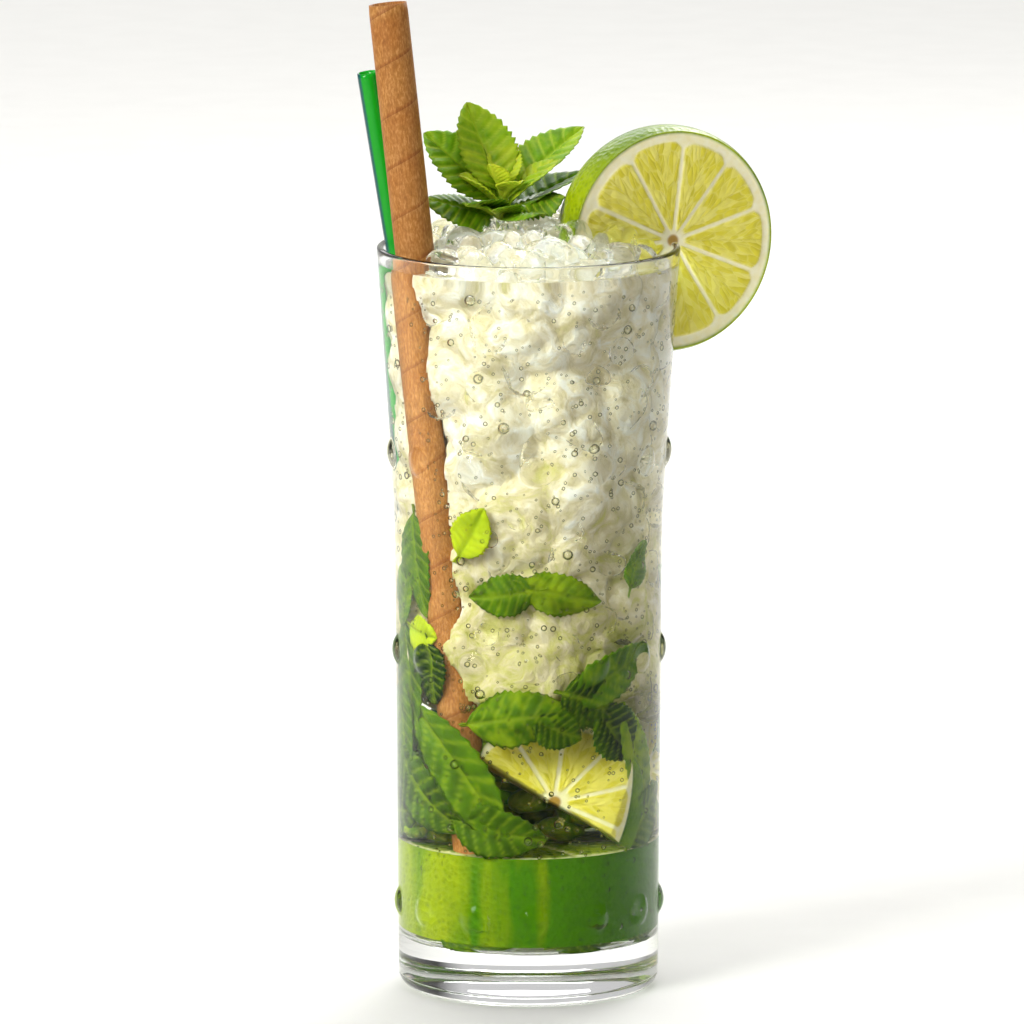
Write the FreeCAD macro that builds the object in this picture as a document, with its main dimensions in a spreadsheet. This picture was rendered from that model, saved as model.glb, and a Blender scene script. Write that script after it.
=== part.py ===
"""A mojito in a tall tumbler: glass, drink, crushed ice, lime wheel, two straws and a sprig of mint.

Millimetres, +Z up. The origin is the centre of the glass's foot, on the surface it stands on, and the
front is -Y. Every size is a cell of the sheet "Sizes". Sketches and primitives read their sizes from it
by expression, and what code places or shapes is worked out from the same cells.
"""

import FreeCAD
import Part
import math
import os
import random

import Sketcher
from FreeCAD import Placement, Rotation, Vector

SIZES = [
    # alias, value, meaning
    ("glass_height", 156.5, "foot to rim"),
    ("rim_radius", 31.6, "outside of the rim"),
    ("rim_wall", 1.5, "wall at the rim"),
    ("lip_round", 0.6, "rounding of the rim's two edges"),
    ("waist_height", 100.0, "where the straight body starts to flare"),
    ("waist_radius", 27.95, "outside there"),
    ("waist_bend", 250.0, "radius of the bend between body and flare"),
    ("foot_radius", 27.2, "outside above the heel"),
    ("heel_round", 3.2, "rounding of the foot's edge"),
    ("body_wall", 2.0, "wall of the straight body"),
    ("base_thickness", 11.0, "solid glass under the drink"),
    ("floor_round", 3.0, "rounding where the wall meets the floor"),
    ("punt_radius", 19.0, "hollow under the foot"),
    ("punt_depth", 1.2, "its depth"),
    ("stud_count", 13, "raised studs in each of the three rings round the glass"),
    ("stud_width", 6.5, "across a stud"),
    ("stud_proud", 1.1, "how far it stands out"),
    ("stud_turn", 2.9, "first stud of a ring, in degrees past the front"),
    ("ring_low", 18.5, "height of the lowest ring"),
    ("ring_middle", 72.0, "height of the middle ring"),
    ("ring_high", 113.5, "height of the highest ring"),
    ("level_gap", 3.5, "surface of the drink below the rim"),
    ("clearance", 0.2, "gap round a thing that stands in another"),
    ("ice_rise", 6.0, "top of the crushed ice above the rim"),
    ("ice_edge", 1.5, "crushed ice below the rim where it meets the wall"),
    ("lump_radius", 3.4, "a usual lump of ice"),
    ("lump_count", 46, "lumps that show on the heap"),
    ("paper_diameter", 8.1, "wide paper straw, outside"),
    ("paper_wall", 0.45, "its wall"),
    ("paper_length", 198.0, "its length"),
    ("paper_rim_turn", 204.0, "where it leans on the rim, in degrees from +X"),
    ("paper_foot_turn", 243.0, "where it stands on the floor"),
    ("paper_foot_reach", 17.6, "how far out it stands"),
    ("plastic_diameter", 4.2, "narrow plastic straw, outside"),
    ("plastic_wall", 0.3, "its wall"),
    ("plastic_length", 184.0, "its length"),
    ("plastic_rim_turn", 178.0, "where it leans on the rim"),
    ("plastic_foot_turn", 120.0, "where it stands on the floor"),
    ("plastic_foot_reach", 9.0, "how far out it stands"),
    ("wheel_radius", 23.2, "lime wheel, flesh and rind"),
    ("wheel_thickness", 8.4, "its thickness"),
    ("rind_bulge", 0.6, "how far the rind bows out between the faces"),
    ("wheel_rise", 0.2, "its centre above the rim"),
    ("wheel_inset", 1.2, "its centre inside the middle of the rim"),
    ("wheel_turn", 26.0, "direction of its plane, in degrees from +X"),
    ("wheel_seat_turn", 17.5, "where it sits on the rim"),
    ("segment_count", 10, "segments of the wheel"),
    ("segment_sink", 0.3, "how far the flesh lies below the membranes"),
    ("pith_width", 2.3, "rind and pith outside the flesh"),
    ("core_radius", 2.4, "pith in the middle"),
    ("membrane", 0.7, "skin between two segments"),
    ("sprig_side", -5.3, "stem of the mint, to the right of the glass's axis"),
    ("sprig_depth", 3.0, "stem, behind the glass's axis"),
    ("sprig_rise", 10.5, "top of the stem above the rim"),
    ("stem_diameter", 2.6, "the stem"),
    ("stem_sunk", 12.0, "how far the stem goes below the rim"),
    ("leaf_thickness", 1.0, "a leaf along its midrib"),
    ("leaf_edge", 0.25, "a leaf along its edge"),
]

# The leaves of the sprig, from the top down: how far the leaf starts below the top of the stem, turn from
# +X, rise from level and roll about its own length in degrees, length and width in millimetres, droop of
# the tip as a share of the length, and fold, which is how far the edges stand above the midrib.
LEAVES = [
    (1.0, 135, 61, -25, 22.0, 10.5, 0.02, 0.35),
    (1.5, 35, 37, 15, 24.5, 10.5, 0.06, 0.35),
    (2.5, 165, 42, -40, 22.5, 12.0, 0.04, 0.30),
    (0.5, 82, 62, 0, 12.0, 6.0, 0.05, 0.40),
    (0.5, 232, 62, 0, 8.0, 4.5, 0.05, 0.50),
    (1.0, 300, 48, 0, 7.0, 5.0, 0.30, 0.30),
    (3.0, 205, 46, -20, 11.0, 7.5, 0.15, 0.30),
    (5.5, 30, 29, 0, 22.0, 11.0, 0.10, 0.25),
    (4.0, 352, 27, 20, 12.5, 12.5, 0.22, -0.25),
    (6.0, 196, 27, -25, 15.5, 12.5, 0.18, -0.20),
    (6.5, 256, 36, 0, 8.5, 8.0, 0.20, 0.35),
]

# Corners of a regular icosahedron and their triangles, the start of every lump of ice.
GOLDEN = (1 + math.sqrt(5)) / 2
ICOSA_CORNERS = [
    Vector(*corner).normalize()
    for corner in (
        (-1, GOLDEN, 0), (1, GOLDEN, 0), (-1, -GOLDEN, 0), (1, -GOLDEN, 0),
        (0, -1, GOLDEN), (0, 1, GOLDEN), (0, -1, -GOLDEN), (0, 1, -GOLDEN),
        (GOLDEN, 0, -1), (GOLDEN, 0, 1), (-GOLDEN, 0, -1), (-GOLDEN, 0, 1),
    )
]
ICOSA_TRIANGLES = [
    (0, 11, 5), (0, 5, 1), (0, 1, 7), (0, 7, 10), (0, 10, 11),
    (1, 5, 9), (5, 11, 4), (11, 10, 2), (10, 7, 6), (7, 1, 8),
    (3, 9, 4), (3, 4, 2), (3, 2, 6), (3, 6, 8), (3, 8, 9),
    (4, 9, 5), (2, 4, 11), (6, 2, 10), (8, 6, 7), (9, 8, 1),
]
GOLDEN_TURN = 360 / GOLDEN**2  # degrees from one lump to the next, which spreads them evenly

UP = Vector(0, 0, 1)
MARGIN = 20.0  # how far tools run past what they cut


# ---------------------------------------------------------------- document, sheet and cells

doc = FreeCAD.newDocument("Mojito")
sheet = doc.addObject("Spreadsheet::Sheet", "Sizes")
for row, (alias, value, meaning) in enumerate(SIZES, start=1):
    sheet.set(f"A{row}", meaning)
    sheet.set(f"B{row}", str(value))
    sheet.setAlias(f"B{row}", alias)
doc.recompute()


class Amount:
    """A number worked out from cells: its text, for an expression, and its value."""

    def __init__(self, text, value):
        self.text = text
        self.value = value

    def __add__(self, other):
        return Amount(f"({self.text} + {other.text})", self.value + other.value)

    def __sub__(self, other):
        return Amount(f"({self.text} - {other.text})", self.value - other.value)

    def __mul__(self, other):
        return Amount(f"({self.text} * {other.text})", self.value * other.value)

    def __truediv__(self, other):
        return Amount(f"({self.text} / {other.text})", self.value / other.value)


def cell(alias):
    return Amount(f"Sizes.{alias}", float(getattr(sheet, alias)))


def plain(number):
    return Amount(str(number), float(number))


def bind(thing, name, amount):
    """Sets a property and ties it to the cells."""
    setattr(thing, name, type(getattr(thing, name))(amount.value))
    thing.setExpression(name, amount.text)


NOTHING = plain(0)
HEIGHT = cell("glass_height")
GAP = cell("clearance")
LEVEL = HEIGHT - cell("level_gap")
FLOOR = cell("base_thickness")
OUTER_WALL = (cell("foot_radius"), cell("waist_radius"), cell("rim_radius"))
INNER_WALL = (
    cell("foot_radius") - cell("body_wall"),
    cell("waist_radius") - cell("body_wall"),
    cell("rim_radius") - cell("rim_wall"),
)
NARROWER = tuple(radius - GAP for radius in INNER_WALL)
WIDER = tuple(radius + GAP for radius in OUTER_WALL)


# ---------------------------------------------------------------- sketches and features


def new_body(name):
    body = doc.addObject("PartDesign::Body", name)
    doc.recompute()
    return body


def origin_item(body, role):
    return next(item for item in body.Origin.OriginFeatures if item.Role == role)


def new_sketch(body, name, role):
    sketch = body.newObject("Sketcher::SketchObject", name)
    sketch.AttachmentSupport = [(origin_item(body, role), "")]
    sketch.MapMode = "FlatFace"
    return sketch


def hold(sketch, geometry, end, across, up):
    """Ties a point of the sketch to two amounts, or to an axis where the amount is nothing."""
    for kind, amount, axis in (("DistanceX", across, -2), ("DistanceY", up, -1)):
        if amount is NOTHING:
            sketch.addConstraint(Sketcher.Constraint("PointOnObject", geometry, end, axis))
            continue
        index = sketch.addConstraint(
            Sketcher.Constraint(kind, -1, 1, geometry, end, amount.value)
        )
        sketch.setExpression(f"Constraints[{index}]", amount.text)


def spot(across, up):
    return Vector(across.value, up.value, 0)


def add_line(sketch, start, stop):
    return sketch.addGeometry(Part.LineSegment(start, stop), False)


def join(sketch, first, second):
    """Makes the end of one line the start of the next."""
    sketch.addConstraint(Sketcher.Constraint("Coincident", first, 2, second, 1))


def add_wall(sketch, wall, bottom, top):
    """Draws a wall seen from the side: a body line, the bend at the waist and the flare above it.

    The two lines aim at the waist, and an arc tangent to both rounds the corner between them."""
    foot, waist, rim = (spot(r, z) for r, z in zip(wall, (bottom, cell("waist_height"), top)))
    bend = cell("waist_bend")
    along, beyond = (waist - foot).normalize(), (rim - waist).normalize()
    turn = along.getAngle(beyond)
    cut_back = bend.value * math.tan(turn / 2)
    start, stop = waist - along * cut_back, waist + beyond * cut_back
    centre = start + Vector(along.y, -along.x, 0) * bend.value
    first = math.atan2(stop.y - centre.y, stop.x - centre.x)
    last = math.atan2(start.y - centre.y, start.x - centre.x)
    body_line = add_line(sketch, foot, start)
    circle = Part.Circle(centre, UP, bend.value)
    arc = sketch.addGeometry(Part.ArcOfCircle(circle, first, last % (2 * math.pi)), False)
    flare_line = add_line(sketch, stop, rim)
    corner = sketch.addGeometry(Part.Point(waist), True)
    hold(sketch, corner, 1, wall[1], cell("waist_height"))
    for line in (body_line, flare_line):
        sketch.addConstraint(Sketcher.Constraint("PointOnObject", corner, 1, line))
    sketch.addConstraint(Sketcher.Constraint("Tangent", body_line, 2, arc, 2))
    sketch.addConstraint(Sketcher.Constraint("Tangent", flare_line, 1, arc, 1))
    index = sketch.addConstraint(Sketcher.Constraint("Radius", arc, bend.value))
    sketch.setExpression(f"Constraints[{index}]", bend.text)
    hold(sketch, body_line, 1, wall[0], bottom)
    hold(sketch, flare_line, 2, wall[2], top)
    return body_line, flare_line


def turned_sketch(body, name, wall, bottom, rim_height, top=None):
    """Sketches half of a glass's section: its wall, a straight run up to the top, and the axis."""
    sketch = new_sketch(body, name, "XZ_Plane")
    body_line, flare_line = add_wall(sketch, wall, bottom, rim_height)
    corners = [(wall[2], rim_height), (NOTHING, top or rim_height), (NOTHING, bottom)]
    if top:
        corners.insert(1, (wall[2], top))
    last = flare_line
    for start, stop in zip(corners, corners[1:] + [(wall[0], bottom)]):
        line = add_line(sketch, spot(*start), spot(*stop))
        join(sketch, last, line)
        if start is not corners[0]:
            hold(sketch, line, 1, *start)
        last = line
    join(sketch, last, body_line)
    return sketch


def turn_round(body, kind, name, sketch):
    """A full turn of the sketch about the axis: PartDesign::Revolution adds it and ::Groove cuts it."""
    feature = body.newObject(kind, name)
    feature.Profile = sketch
    feature.ReferenceAxis = (sketch, ["V_Axis"])
    feature.Angle = 360
    doc.recompute()
    return feature


def plug_body(name, wall, bottom, rim_height, top=None):
    body = new_body(name)
    sketch = turned_sketch(body, name + "Section", wall, bottom, rim_height, top)
    turn_round(body, "PartDesign::Revolution", name + "Turned", sketch)
    return body


def ring_edge(feature, radius, height):
    """Name of the feature's circular edge of that radius at that height."""
    for number, edge in enumerate(feature.Shape.Edges, start=1):
        if edge.Degenerated or not isinstance(edge.Curve, Part.Circle):
            continue
        near = abs(edge.Curve.Radius - radius.value) + abs(edge.Curve.Center.z - height.value)
        if near < 0.01:
            return f"Edge{number}"
    raise RuntimeError(f"no edge of radius {radius.value} at {height.value}")


def round_edges(body, name, spots, amount):
    base = body.Tip
    feature = body.newObject("PartDesign::Fillet", name)
    feature.Base = (base, [ring_edge(base, radius, height) for radius, height in spots])
    bind(feature, "Radius", amount)
    doc.recompute()


def cylinder(name, radius, length, placement):
    solid = doc.addObject("Part::Cylinder", name)
    bind(solid, "Radius", radius)
    bind(solid, "Height", length)
    solid.Placement = placement
    return solid


def cut(name, base, tool):
    result = doc.addObject("Part::Cut", name)
    result.Base = base
    result.Tool = tool
    return result


def meet(name, first, second):
    result = doc.addObject("Part::Common", name)
    result.Base = first
    result.Tool = second
    return result


def gather(name, shapes):
    result = doc.addObject("Part::MultiFuse", name)
    result.Shapes = shapes
    return result


# ---------------------------------------------------------------- glass


def wall_radius(wall, height):
    """The wall's radius at a height, along the body or the flare."""
    foot, waist, rim = wall
    knee = cell("waist_height")
    if height.value < knee.value:
        return foot + (waist - foot) * height / knee
    return waist + (rim - waist) * (height - knee) / (HEIGHT - knee)


def ball(body, kind, name, radius, place):
    """A ball in the body, at a place given by three amounts: the kind says whether it adds or cuts."""
    feature = body.newObject(kind, name)
    feature.AttachmentSupport = [(origin_item(body, "XY_Plane"), "")]
    feature.MapMode = "FlatFace"
    bind(feature, "Radius", radius)
    feature.AttachmentOffset = Placement(Vector(*(amount.value for amount in place)), Rotation())
    for axis, amount in zip("xyz", place):
        feature.setExpression(f"AttachmentOffset.Base.{axis}", amount.text)
    doc.recompute()
    return feature


def add_studs(body, section, name, height):
    """A ring of studs, each the cap of a ball that stands out of the wall."""
    half, proud, two = cell("stud_width") / plain(2), cell("stud_proud"), plain(2)
    radius = (half * half + proud * proud) / (two * proud)
    reach = wall_radius(OUTER_WALL, height) + proud - radius
    turn = cell("stud_turn") - plain(90)
    across = Amount(f"cos({turn.text} * 1 deg)", math.cos(math.radians(turn.value)))
    along = Amount(f"sin({turn.text} * 1 deg)", math.sin(math.radians(turn.value)))
    place = (reach * across, reach * along, height)
    stud = ball(body, "PartDesign::AdditiveSphere", name + "Stud", radius, place)
    ring = body.newObject("PartDesign::PolarPattern", name + "Ring")
    ring.Originals = [stud]
    ring.Axis = (section, ["V_Axis"])
    ring.Angle = 360
    bind(ring, "Occurrences", cell("stud_count"))
    body.Tip = ring
    doc.recompute()


def make_glass():
    """A pressed tumbler: a turned blank, three rings of studs, a punt, and the cavity cut out last."""
    body = new_body("Glass")
    section = turned_sketch(body, "Outside", OUTER_WALL, NOTHING, HEIGHT)
    turn_round(body, "PartDesign::Revolution", "Blank", section)
    for name in ("low", "middle", "high"):
        add_studs(body, section, name.capitalize(), cell("ring_" + name))
    reach, depth, two = cell("punt_radius"), cell("punt_depth"), plain(2)
    radius = (reach * reach + depth * depth) / (two * depth)
    ball(body, "PartDesign::SubtractiveSphere", "Punt", radius, (NOTHING, NOTHING, depth - radius))
    cavity = turned_sketch(body, "Cavity", INNER_WALL, FLOOR, HEIGHT, HEIGHT + plain(MARGIN))
    turn_round(body, "PartDesign::Groove", "Inside", cavity)
    round_edges(body, "Lip", ((OUTER_WALL[2], HEIGHT), (INNER_WALL[2], HEIGHT)), cell("lip_round"))
    round_edges(body, "Heel", [(OUTER_WALL[0], NOTHING)], cell("heel_round"))
    round_edges(body, "FloorCorner", [(INNER_WALL[0], FLOOR)], cell("floor_round"))
    body.Label = "glass"
    return body




# ---------------------------------------------------------------- straws


class Straw:
    """Where a straw runs: it stands on the floor and leans on the rim, or on the waist if that is nearer."""

    def __init__(self, name):
        self.name = name
        self.radius = cell(name + "_diameter") / plain(2)
        self.wall = cell(name + "_wall")
        self.length = cell(name + "_length")
        spare = GAP.value + self.radius.value
        reach = INNER_WALL[2].value - spare
        foot = self.at(name + "_foot_turn", cell(name + "_foot_reach").value, FLOOR.value)
        waist_reach = INNER_WALL[1].value - spare
        while True:
            lean = self.at(name + "_rim_turn", reach, HEIGHT.value)
            share = (cell("waist_height").value - foot.z) / (lean.z - foot.z)
            passing = foot + (lean - foot) * share
            if math.hypot(passing.x, passing.y) < waist_reach:
                break
            reach -= 0.1
        self.run = (lean - foot).normalize()
        lift = self.radius.value * math.sqrt(1 - self.run.z**2) + GAP.value / 4
        self.foot = foot + UP * lift
        self.turn = Rotation(UP, self.run)

    def at(self, turn_alias, reach, height):
        turn = math.radians(cell(turn_alias).value)
        return Vector(reach * math.cos(turn), reach * math.sin(turn), height)

    def make(self, label):
        """The tube itself: a ring drawn round the axis and pulled out to the straw's length."""
        body = new_body(self.name.capitalize() + "Straw")
        sketch = new_sketch(body, self.name.capitalize() + "Ring", "XY_Plane")
        for radius in (self.radius, self.radius - self.wall):
            circle = sketch.addGeometry(Part.Circle(Vector(), UP, radius.value), False)
            sketch.addConstraint(Sketcher.Constraint("Coincident", circle, 3, -1, 1))
            index = sketch.addConstraint(Sketcher.Constraint("Radius", circle, radius.value))
            sketch.setExpression(f"Constraints[{index}]", radius.text)
        tube = body.newObject("PartDesign::Pad", self.name.capitalize() + "Tube")
        tube.Profile = sketch
        bind(tube, "Length", self.length)
        doc.recompute()
        body.Placement = Placement(self.foot, self.turn)
        body.Label = label
        return body

    def room(self):
        """The hole that the straw leaves in what it stands in, from under its foot to past its top."""
        start = self.foot - self.run * MARGIN
        return cylinder(
            self.name.capitalize() + "Room", self.radius + GAP, self.length + plain(MARGIN),
            Placement(start, self.turn),
        )


# ---------------------------------------------------------------- lime wheel


def wheel_placement():
    """The wheel stands upright across the rim: its axis lies level, its centre is just inside the wall."""
    seat = math.radians(cell("wheel_seat_turn").value)
    reach = cell("rim_radius").value - cell("rim_wall").value / 2 - cell("wheel_inset").value
    centre = Vector(
        reach * math.cos(seat), reach * math.sin(seat), HEIGHT.value + cell("wheel_rise").value
    )
    facing = Rotation(UP, cell("wheel_turn").value) * Rotation(Vector(1, 0, 0), 90)
    return Placement(centre, facing)


def add_segments(body, section, side):
    """Presses the wedges of flesh into one face of the wheel, a skin's width apart."""
    name = "Front" if side > 0 else "Back"
    two, count = plain(2), cell("segment_count")
    face = cell("wheel_thickness") / two
    sketch = new_sketch(body, name + "Wedge", "XY_Plane")
    sketch.AttachmentOffset = Placement(Vector(0, 0, side * face.value), Rotation())
    sketch.setExpression("AttachmentOffset.Base.z", f"{side} * {face.text}")
    flesh = cell("wheel_radius") - cell("pith_width")
    half_turn = 180 / count.value
    slip = math.degrees(cell("membrane").value / 2 / flesh.value)
    angle = math.radians(half_turn - slip)
    angle_text = f"(180 / {count.text} * 1 deg - {cell('membrane').text} / 2 / {flesh.text} * 1 rad)"
    across = flesh * Amount(f"cos{angle_text}", math.cos(angle))
    up = flesh * Amount(f"sin{angle_text}", math.sin(angle))
    down = NOTHING - up
    tip = cell("core_radius")
    arc_shape = Part.ArcOfCircle(Part.Circle(Vector(), UP, flesh.value), -angle, angle)
    arc = sketch.addGeometry(arc_shape, False)
    back = add_line(sketch, spot(across, up), spot(tip, NOTHING))
    out = add_line(sketch, spot(tip, NOTHING), spot(across, down))
    join(sketch, arc, back)
    join(sketch, back, out)
    join(sketch, out, arc)
    sketch.addConstraint(Sketcher.Constraint("Coincident", arc, 3, -1, 1))
    hold(sketch, back, 1, across, up)
    hold(sketch, out, 1, tip, NOTHING)
    index = sketch.addConstraint(Sketcher.Constraint("DistanceY", -1, 1, arc, 1, down.value))
    sketch.setExpression(f"Constraints[{index}]", down.text)
    wedge = body.newObject("PartDesign::Pocket", name + "Pocket")
    wedge.Profile = sketch
    bind(wedge, "Length", cell("segment_sink"))
    wedge.Reversed = side < 0
    doc.recompute()
    ring = body.newObject("PartDesign::PolarPattern", name + "Segments")
    ring.Originals = [wedge]
    ring.Axis = (section, ["V_Axis"])
    ring.Angle = 360
    bind(ring, "Occurrences", count)
    body.Tip = ring
    doc.recompute()


def make_wheel(wall_room):
    """A slice of lime, slit from below so that it straddles the wall of the glass."""
    body = new_body("Slice")
    sketch = new_sketch(body, "SliceSection", "XZ_Plane")
    two = plain(2)
    top = cell("wheel_thickness") / two
    bottom = NOTHING - top
    edge, bulge = cell("wheel_radius"), cell("rind_bulge")
    low = add_line(sketch, spot(NOTHING, bottom), spot(edge, bottom))
    middle = spot(edge + bulge, NOTHING)
    rind = sketch.addGeometry(Part.Arc(spot(edge, bottom), middle, spot(edge, top)), False)
    high = add_line(sketch, spot(edge, top), spot(NOTHING, top))
    axis = add_line(sketch, spot(NOTHING, top), spot(NOTHING, bottom))
    for first, second in ((low, rind), (rind, high), (high, axis), (axis, low)):
        join(sketch, first, second)
    hold(sketch, low, 1, NOTHING, bottom)
    hold(sketch, rind, 1, edge, bottom)
    hold(sketch, high, 1, edge, top)
    hold(sketch, axis, 1, NOTHING, top)
    bow = (top * top + bulge * bulge) / (two * bulge)
    index = sketch.addConstraint(Sketcher.Constraint("Radius", rind, bow.value))
    sketch.setExpression(f"Constraints[{index}]", bow.text)
    turn_round(body, "PartDesign::Revolution", "SliceTurned", sketch)
    for side in (1, -1):
        add_segments(body, sketch, side)
    body.Placement = wheel_placement()
    wheel = cut("Wheel", body, wall_room)
    wheel.Label = "lime_wheel"
    return wheel


def wheel_room():
    """The space the slice takes up in the drink and the ice."""
    two = plain(2)
    thickness = cell("wheel_thickness") + GAP * two
    placement = wheel_placement()
    back = placement.Rotation.multVec(UP) * (-thickness.value / 2)
    return cylinder(
        "WheelRoom", cell("wheel_radius") + cell("rind_bulge") + GAP, thickness,
        Placement(placement.Base + back, placement.Rotation),
    )


# ---------------------------------------------------------------- sprig of mint


BLADE_PEAK = 0.385  # the greatest value of the blade's outline before it is scaled to 1
STALK_SHARE = 0.8  # length of a leaf's stalk, in stem diameters
SHORT_LEAF = 14.0  # a leaf shorter than this has fewer teeth
NOTCH = 0.86  # width at a notch between two teeth, as a share of the width at a tooth


def facets(rings):
    """A closed solid of triangles between rings of as many points each, the last one a single point."""
    triangles = []
    for ring, after in zip(rings, rings[1:]):
        for i in range(len(ring)):
            j = (i + 1) % len(ring)
            if len(after) == 1:
                triangles.append((ring[i], ring[j], after[0]))
                continue
            triangles.append((ring[i], ring[j], after[j]))
            triangles.append((ring[i], after[j], after[i]))
    first = rings[0]
    for i in range(1, len(first) - 1):
        triangles.append((first[0], first[i + 1], first[i]))
    faces = [Part.Face(Part.makePolygon([a, b, c, a])) for a, b, c in triangles]
    solid = Part.Solid(Part.Shell(faces))
    if solid.Volume < 0:
        solid.reverse()
    return solid


def stem_top():
    return Vector(
        cell("sprig_side").value, cell("sprig_depth").value, HEIGHT.value + cell("sprig_rise").value
    )


def blade_shape(share):
    """Half the width of a leaf as a share of its greatest, from the end of the stalk to the tip."""
    return share**0.6 * (1 - share) ** 0.8 / BLADE_PEAK


def leaf(row, spare):
    """A toothed leaf: a six-cornered section carried along an arched midrib, and grown by spare."""
    below, turn, rise, roll, length, width, droop, fold = row
    turn, rise = math.radians(turn), math.radians(rise)
    along = Vector(math.cos(turn) * math.cos(rise), math.sin(turn) * math.cos(rise), math.sin(rise))
    side = Vector(-math.sin(turn), math.cos(turn), 0)
    spin = Rotation(along, roll)
    side, upper = spin.multVec(side), spin.multVec(along.cross(side))
    base = stem_top() - UP * below
    thick, thin = cell("leaf_thickness").value, cell("leaf_edge").value
    stalk = cell("stem_diameter").value * STALK_SHARE
    steps = 6 if length < SHORT_LEAF else 10
    blade = [(step + 0.4) / steps for step in range(steps)]
    stations = [(0.0, 0.0), (stalk / length, 0.0)]
    for step, share in enumerate(blade):
        tooth = 1.0 if step % 2 else NOTCH
        stations.append(((stalk + share * (length - stalk)) / length, blade_shape(share) * tooth))
    rings = []
    for share, shape in stations:
        half = max(width / 2 * shape, thick / 2) + spare
        middle = base + along * (share * length) - upper * (droop * length * share**2)
        rib = upper * (thick / 2 * (1 - 0.6 * share) + spare)
        left = middle - side * half + upper * (fold * half)
        right = middle + side * half + upper * (fold * half)
        edge = upper * (thin / 2 + spare)
        rings.append([left - edge, middle - rib, right - edge, right + edge, middle + rib, left + edge])
    tip = base + along * (length + spare) - upper * (droop * length)
    return facets(rings + [[tip]])


def make_sprig():
    """Stem and leaves in one piece."""
    top, radius = stem_top(), cell("stem_diameter").value / 2
    deep = HEIGHT.value - cell("stem_sunk").value
    shapes = [leaf(row, 0.0) for row in LEAVES]
    stem = Part.makeCylinder(radius, top.z - deep, Vector(top.x, top.y, deep))
    whole = stem.multiFuse(shapes)
    sprig = doc.addObject("Part::Feature", "Sprig")
    sprig.Shape = whole
    sprig.Label = "mint_sprig"
    return sprig


def sprig_room():
    """The space the sprig takes up in the drink and the ice."""
    top, spare = stem_top(), GAP.value
    radius, deep = cell("stem_diameter").value / 2 + spare, HEIGHT.value - cell("stem_sunk").value - spare
    stem = Part.makeCylinder(radius, top.z - deep, Vector(top.x, top.y, deep))
    low = [leaf(row, spare) for row in LEAVES if row[2] < 50]
    room = doc.addObject("Part::Feature", "SprigRoom")
    room.Shape = stem.multiFuse(low)
    return room


# ---------------------------------------------------------------- crushed ice


def lump(centre, radius, shuffle):
    """A lump of crushed ice: an icosahedron, squashed and turned at random."""
    stretch = Vector(*(shuffle.uniform(0.82, 1.18) for _ in range(3)))
    turn = Rotation(shuffle.uniform(0, 360), shuffle.uniform(0, 360), shuffle.uniform(0, 360))
    corners = []
    for corner in ICOSA_CORNERS:
        point = Vector(corner.x * stretch.x, corner.y * stretch.y, corner.z * stretch.z) * radius
        corners.append(centre + turn.multVec(point))
    faces = [
        Part.Face(Part.makePolygon([corners[a], corners[b], corners[c], corners[a]]))
        for a, b, c in ICOSA_TRIANGLES
    ]
    solid = Part.Solid(Part.Shell(faces))
    if solid.Volume < 0:
        solid.reverse()
    return solid


def make_heap():
    """The heap before it is cut: a low mound on the drink with lumps bedded all over it."""
    shuffle = random.Random(7)
    rim, radius = HEIGHT.value, cell("lump_radius").value
    rise, edge = cell("ice_rise").value, cell("ice_edge").value
    count = int(cell("lump_count").value)
    reach = INNER_WALL[2].value - radius * 0.8
    base = LEVEL.value
    slab = Part.makeCylinder(reach + radius, rim - edge - radius * 0.4 - base, Vector(0, 0, base))
    mound = Part.makeCone(reach, reach * 0.35, rise + edge, Vector(0, 0, rim - edge - radius * 0.4))
    lumps = []
    for i in range(count):
        share = math.sqrt((i + 0.5) / count)
        turn = math.radians(i * GOLDEN_TURN)
        height = rim - edge + (rise + edge) * (1 - share**1.6) - radius * shuffle.uniform(0.75, 1.15)
        centre = Vector(share * reach * math.cos(turn), share * reach * math.sin(turn), height)
        lumps.append(lump(centre, radius * shuffle.uniform(0.8, 1.25), shuffle))
    heap = doc.addObject("Part::Feature", "Heap")
    heap.Shape = slab.multiFuse([mound] + lumps)
    return heap


# ---------------------------------------------------------------- the whole drink


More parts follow.
